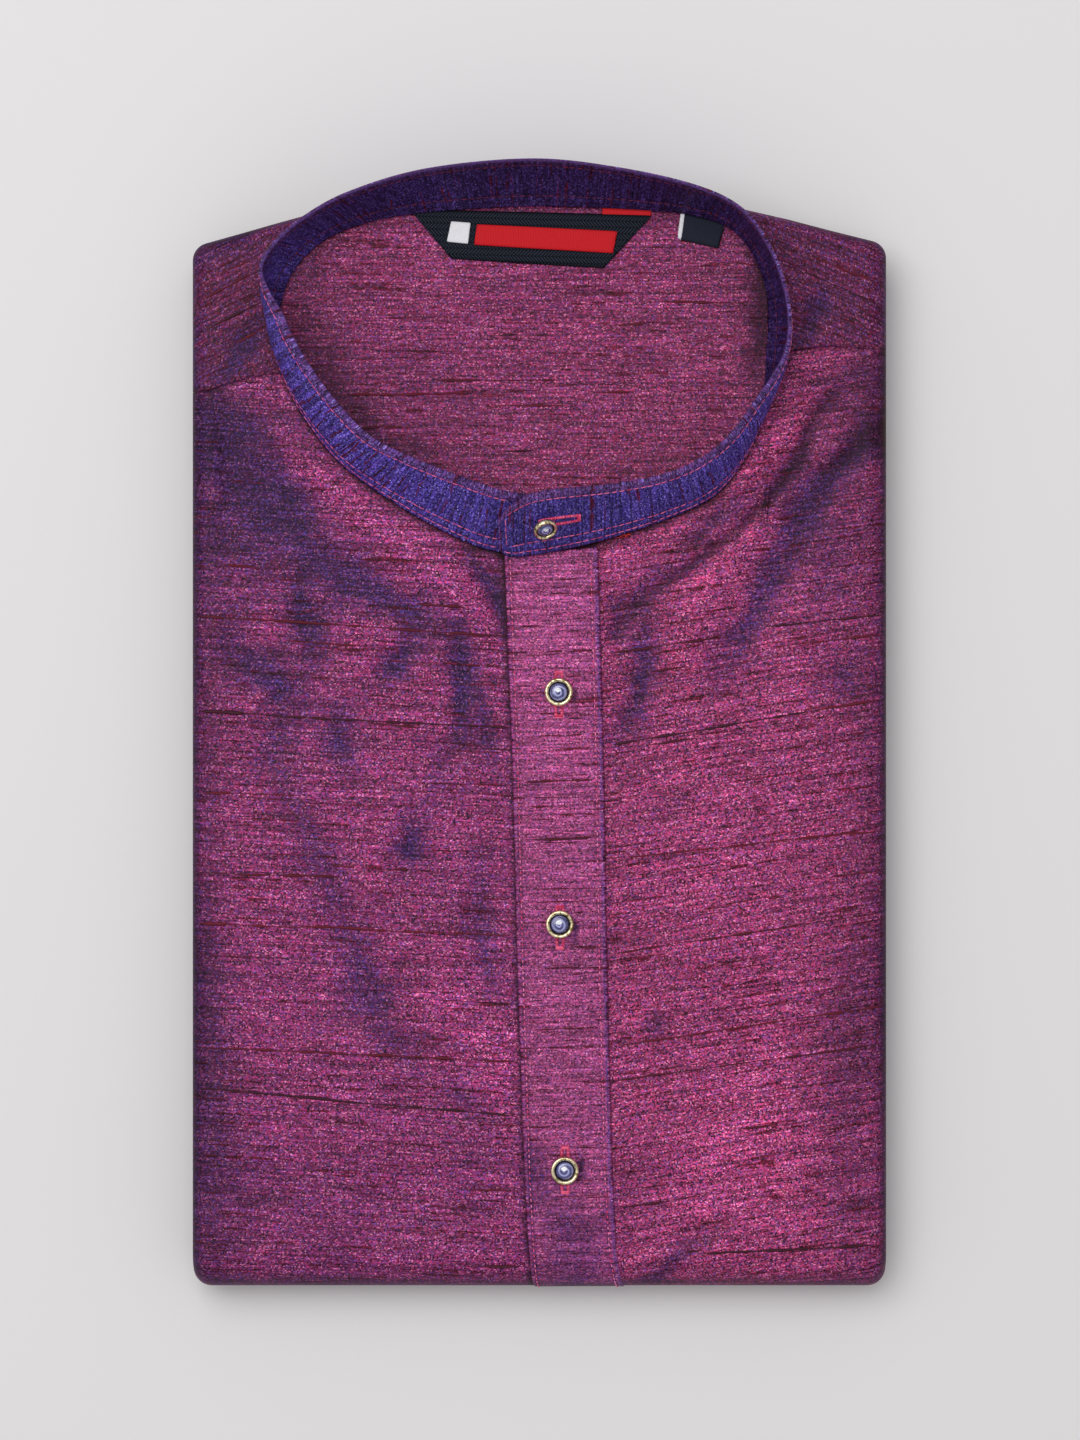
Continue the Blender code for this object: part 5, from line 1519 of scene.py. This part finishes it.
brass = brass_material("button_brass")
pearl = pearl_material("button_pearl")
BUTTON_PLACES = ((6.9, 13.1), (7.3, -70.4), (9.1, -158.9))
TAB_BUTTON = (29.35, 0.42)
TAB_BUTTON_AXIS = (0.27, -0.72, 0.64)
TAB_BUTTON_SHIFT = (0.3, 0.4, 1.4)
TAB_BUTTON_SCALE = 0.9
SHANK_LIFTS = (-0.9, -0.2, 0.5)
SHANK_RADII = np.array([1.1, 1.1, 1.0])
SHANK_SIDES = 12
button_height = TOP + GAP + PLACKET_CLOTH + GAP
button_spots = []
for number, (x, y) in enumerate(BUTTON_PLACES, 1):
    button_spots.append((f"button_{number}", np.array([x, y, button_height]), np.array([0.0, 0.0, 1.0])))
tab_place, _ = collar_points(*(np.array([value]) for value in (*TAB_BUTTON, COLLAR_HALF + GAP)))
button_spots.append(("button_collar", tab_place[0] + TAB_BUTTON_SHIFT, unit(np.array(TAB_BUTTON_AXIS))))
for number, (node, place, out) in enumerate(button_spots):
    first = unit(np.cross([0.0, 1.0, 0.0], out))
    axes = np.array([first, np.cross(out, first), out])
    scale = TAB_BUTTON_SCALE if node == "button_collar" else BUTTON_SCALE
    for part, (points, faces), material in (
        ("rim", turned_ring(RIM_PROFILE, BUTTON_SIDES, True), brass),
        ("pearl", turned_dome(DOME_PROFILE, BUTTON_SIDES), pearl),
    ):
        dial = points + [0, 0, 2.1 * number]
        piece = solid_mesh(f"{node}_{part}", points @ axes * scale + place, faces, {"dial": dial}, material)
        if part == "rim":
            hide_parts(node)
    shank = np.stack([place + out * lift for lift in SHANK_LIFTS])
    shank_piece = thread_runs(f"{node}_shank", [(shank, SHANK_RADII, axes[0])], SHANK_SIDES, hole_thread)

# The neck label and the size tab
# A trapezoid of dark herringbone tape, with its ends folded under, hangs from the collar seam. It carries a
# white satin patch and a red satin bar, both bare. A red ribbed tab and a navy size tab hang beside it.
LABEL = ((-46.2, 186.6), (40.0, 184.5), (23.0, 166.2), (-31.6, 169.5))
PATCH = ((-31.6, 182.3), (-25.0, 181.8), (-25.9, 174.7), (-33.1, 175.4))
BAR = ((-22.3, 181.3), (27.8, 178.8), (26.3, 171.3), (-23.3, 174.3))
RED_TAB = ((22.8, 187.6), (39.9, 186.9), (40.1, 184.5), (22.8, 184.9))
SIZE_TAB = ((52.0, 185.0), (66.4, 181.8), (64.1, 173.3), (50.7, 176.4))
SIZE_FOLD = ((51.3, 185.8), (52.2, 185.4), (50.9, 176.4), (50.1, 176.9))
LABEL_CLOTH = 0.8
PATCH_CLOTH = 0.5
TAPE_DARK = (0.001, 0.0015, 0.004)
TAPE_LIGHT = (0.026, 0.032, 0.050)


def label_piece(name, corners, lift, thickness, columns, rows, material, node):
    """A woven piece that follows the dish of the back, lift above it, with its masks in millimetres."""
    top_left, top_right, bottom_right, bottom_left = (np.array(corner) for corner in corners)
    i = np.linspace(0, 1, rows)[:, None, None]
    j = np.linspace(0, 1, columns)[None, :, None]
    plan = blend(blend(top_left, bottom_left, i), blend(top_right, bottom_right, i), j)
    x, y = plan[..., 0], plan[..., 1]
    bend = 0.15 * np.sin(x / 9.0 + y / 7.0)
    height = dish_height(x, y) + lift + bend * (thickness < 0.9)
    outer = np.stack([x, y, height + thickness], -1)
    inner = np.stack([x, y, height], -1)
    along = unit(top_right - top_left)
    start = plan - top_left
    u = start @ along
    v = start[..., 0] * along[1] - start[..., 1] * along[0]
    depth = np.linalg.norm(bottom_left - top_left)
    from_edge = np.minimum(np.minimum(i[..., 0], 1 - i[..., 0]) * depth, 9.0) + 0 * u
    masks = {"thread": np.stack([u, v, 0 * u], -1), "rim": close_to(from_edge, 0.5)}
    piece = cloth_shell(name, outer, inner, material, masks)
    if node:
        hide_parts(node)
    return piece


# Woven ribbon: fine ribs of two tones, or herringbone where the weave's rows lean to and fro
ribbon, ribbon_in, ribbon_out = new_group(
    "Ribbon weave",
    {
        "Thread": ("Vector", None),
        "Rim": ("Float", 0.0),
        "Light": ("Color", (0.5, 0.5, 0.5, 1.0)),
        "Dark": ("Color", (0.1, 0.1, 0.1, 1.0)),
        "Lean": ("Float", 0.0),
        "Row": ("Float", 2.4),
        "Rib": ("Float", 0.5),
    },
    {"Colour": "Color", "Height": "Float"},
)
ribbon_thread = add_node(ribbon, "ShaderNodeSeparateXYZ", {0: ribbon_in.outputs["Thread"]})
rib = ribbon_in.outputs["Rib"]
half_row = product(ribbon, ribbon_in.outputs["Row"], 0.5)
zigzag = calculate(ribbon, "PINGPONG", ribbon_thread.outputs[1], half_row)
leaning = scaled(ribbon, zigzag, ribbon_in.outputs["Lean"], ribbon_thread.outputs[0])
ribs = calculate(ribbon, "DIVIDE", calculate(ribbon, "PINGPONG", leaning, rib), rib)
row_gap = calculate(ribbon, "DIVIDE", zigzag, half_row)
row_line = product(ribbon, ramp(ribbon, row_gap, 0.0, 0.25), ramp(ribbon, row_gap, 1.0, 0.75))
fuzz = noise(ribbon, ribbon_in.outputs["Thread"], 2.5, 3.0)
woven = product(ribbon, ramp(ribbon, ribs, 0.15, 0.85), scaled(ribbon, row_line, 0.6, 0.4))
woven = product(ribbon, woven, scaled(ribbon, fuzz, 1.2, 0.4), clamp=True)
edge_dark = product(ribbon, ribbon_in.outputs["Rim"], 0.5)
ribbon_colour = mix_colours(ribbon, woven, ribbon_in.outputs["Dark"], ribbon_in.outputs["Light"])
ribbon_colour = mix_colours(ribbon, edge_dark, ribbon_colour, ribbon_in.outputs["Dark"])
ribbon.links.new(ribbon_colour, ribbon_out.inputs["Colour"])
ribbon.links.new(woven, ribbon_out.inputs["Height"])
RIBBON_BUMP = (0.5, 0.0002)


def ribbon_material(name, light, dark, lean, row, rib, roughness):
    values = {"Light": light, "Dark": dark, "Lean": lean, "Row": row, "Rib": rib}
    finish = {"Roughness": roughness, "Specular IOR Level": 0.12}
    return woven_material(name, ribbon, ("Thread", "Rim"), values, finish, RIBBON_BUMP)


tape = ribbon_material("herringbone_tape", TAPE_LIGHT, TAPE_DARK, 1.0, 4.4, 0.62, 0.8)
white_satin = ribbon_material("white_satin", (0.96, 0.96, 0.98), (0.78, 0.78, 0.83), 0.0, 0.5, 0.25, 0.5)
red_satin = ribbon_material("red_satin", (0.78, 0.018, 0.026), (0.50, 0.008, 0.014), 0.0, 0.55, 0.3, 0.45)
navy_satin = ribbon_material("navy_satin", (0.026, 0.032, 0.052), (0.010, 0.012, 0.022), 0.0, 0.5, 0.3, 0.65)
on_label = 2 * GAP + LABEL_CLOTH
label_piece("neck_label_tape", LABEL, GAP, LABEL_CLOTH, 60, 16, tape, "neck_label")
label_piece(
    "label_white_patch", PATCH, on_label, PATCH_CLOTH, 12, 12, white_satin, "label_patch"
)
label_piece("label_red_bar", BAR, on_label, PATCH_CLOTH, 44, 12, red_satin, "label_bar")
label_piece("label_red_tab", RED_TAB, GAP, PATCH_CLOTH, 20, 8, red_satin, "label_tab")
label_piece("size_tab_ribbon", SIZE_TAB, GAP, LABEL_CLOTH, 16, 12, navy_satin, "size_tab")
label_piece("size_tab_fold", SIZE_FOLD, GAP, 1.0, 4, 10, white_satin, None)

# The folded layers
# Everything folded away: the back, both sleeves, the side parts and the lower half, doubled under the front.
# Three rounded folds show along each side and two behind, each of two plies of the silk with a line between.
Layer = namedtuple("Layer", "name low high widest reach side bottom top ply")
LAYERS = (
    Layer("lowest", 0.0, 6.6, 3.3, 3.3, 0.5, 10.7, 166.0, 0.3),
    Layer("middle", 6.6, 13.0, 9.8, 3.3, 1.3, 3.6, 170.0, 0.3),
    Layer("filling", 12.7, 15.0, 13.9, 0.8, 6.0, 13.2, 168.0, 0.0),
    Layer("upper", 14.7, 20.4, 18.0, 4.2, 2.4, 6.5, 0.0, 0.2),
)
LAYERS_END = -201.6
LAYER_SEED = 90
UPPER_SHOULDER = ((118.0, 167.2), (30.0, 186.6), (-41.0, 187.4), (-118.0, 166.5))
MIDDLE_CORNER = 14.0
PROFILE_STEPS = 22
EDGE_STEP = 3.0
CORNER_TURN = 6


def rounded_outline(corners):
    """Points and outward directions round a form with straight sides, turned at its corners."""
    corners = [np.array(corner, float) for corner in corners]
    count = len(corners)
    heads = []
    for i in range(count):
        edge = corners[(i + 1) % count] - corners[i]
        heads.append(math.atan2(-edge[0], edge[1]))
    points, outs = [], []
    for i in range(count):
        turn = math.remainder(heads[i] - heads[i - 1], math.tau)
        for k in range(CORNER_TURN + 1):
            head = heads[i - 1] + turn * k / CORNER_TURN
            points.append(corners[i])
            outs.append((math.cos(head), math.sin(head)))
        after = corners[(i + 1) % count]
        steps = int(np.linalg.norm(after - corners[i]) / EDGE_STEP)
        for k in range(1, steps):
            points.append(blend(corners[i], after, k / steps))
            outs.append((math.cos(heads[i]), math.sin(heads[i])))
    return np.array(points), np.array(outs)


def layer_mesh(layer, seed):
    """Rings of points down one layer, and the masks of its silk."""
    half = PACKET_HALF - layer.side - layer.reach
    bottom = LAYERS_END + layer.bottom + layer.reach
    top = UPPER_SHOULDER if layer.name == "upper" else ((half, layer.top), (-half, layer.top))
    low = ((-half, bottom), (half, bottom))
    if layer.name == "middle":
        cut = MIDDLE_CORNER
        low = ((-half, bottom + cut), (-half + cut, bottom), (half - cut, bottom), (half, bottom + cut))
    points, outs = rounded_outline(low + top)
    share = np.linspace(0, 1, PROFILE_STEPS)[:, None]
    swell = np.sin(share * math.pi) ** 0.8
    swell = swell * (1 - layer.ply * close_to(share - 0.5, 0.045))
    x0, y0 = points[None, :, 0], points[None, :, 1]
    sway = soft_waves(x0, y0, seed, 0.35, 30.0, 90.0)
    drift = soft_waves(x0, y0, seed + 1, 0.3, 40.0, 120.0)
    reach = np.maximum(layer.reach + np.minimum(sway, 0.2), 0.3) * swell
    x = x0 + outs[None, :, 0] * reach
    y = y0 + outs[None, :, 1] * reach
    z = layer.high + (layer.low - layer.high) * share + drift * np.sin(share * math.pi) * 0.6
    z = np.maximum(z + 0 * x, layer.low)
    travelled = distance_along(points + outs * layer.reach)
    bulge = swell + 0 * z
    crease = close_to(share - 0.5, 0.05) * (layer.ply > 0) + 0 * z
    masks = {
        "thread": np.stack([travelled[None, :] + 0 * z, z * 1.3, 0 * z + 20.0 + seed], -1),
        # Painted shade strongest where each fold bulges out, and painted shadow where it tucks in and in the
        # line between its plies
        "shade": 0.35 + 0.45 * bulge,
        "dusk": 0.15 + 0.6 * crease + 0.3 * (1 - bulge),
        "rim": np.zeros_like(z),
    }
    return np.stack([x, y, z], -1), masks


layer_points, layer_faces, all_masks = [], [], []
base = 0
for number, layer in enumerate(LAYERS):
    rings, masks = layer_mesh(layer, LAYER_SEED + number * 3)
    steps, around = rings.shape[:2]
    i, j = np.meshgrid(np.arange(steps - 1), np.arange(around), indexing="ij")
    j_next = (j + 1) % around
    below = (i + 1) * around
    quads = np.stack([i * around + j, below + j, below + j_next, i * around + j_next], -1)
    layer_faces += (quads.reshape(-1, 4) + base).tolist()
    for row, turned_up in ((0, True), (steps - 1, False)):
        ring_base = base + row * around
        loop = list(range(ring_base, ring_base + around))
        layer_faces.append(loop if turned_up else loop[::-1])
    layer_points.append(rings.reshape(-1, 3))
    all_masks.append({mask: values.reshape(-1, *values.shape[2:]) for mask, values in masks.items()})
    base += steps * around
layer_masks = {mask: np.concatenate([masks[mask] for masks in all_masks]) for mask in all_masks[0]}
layer_silk = silk_material("layer_silk", lit=YOKE_LIT, glint=YOKE_GLINT)
layer_points = np.concatenate(layer_points)
layers = solid_mesh("folded_layers_cloth", layer_points, layer_faces, layer_masks, layer_silk)
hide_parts("folded_layers")

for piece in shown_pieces():
    piece.data.validate()
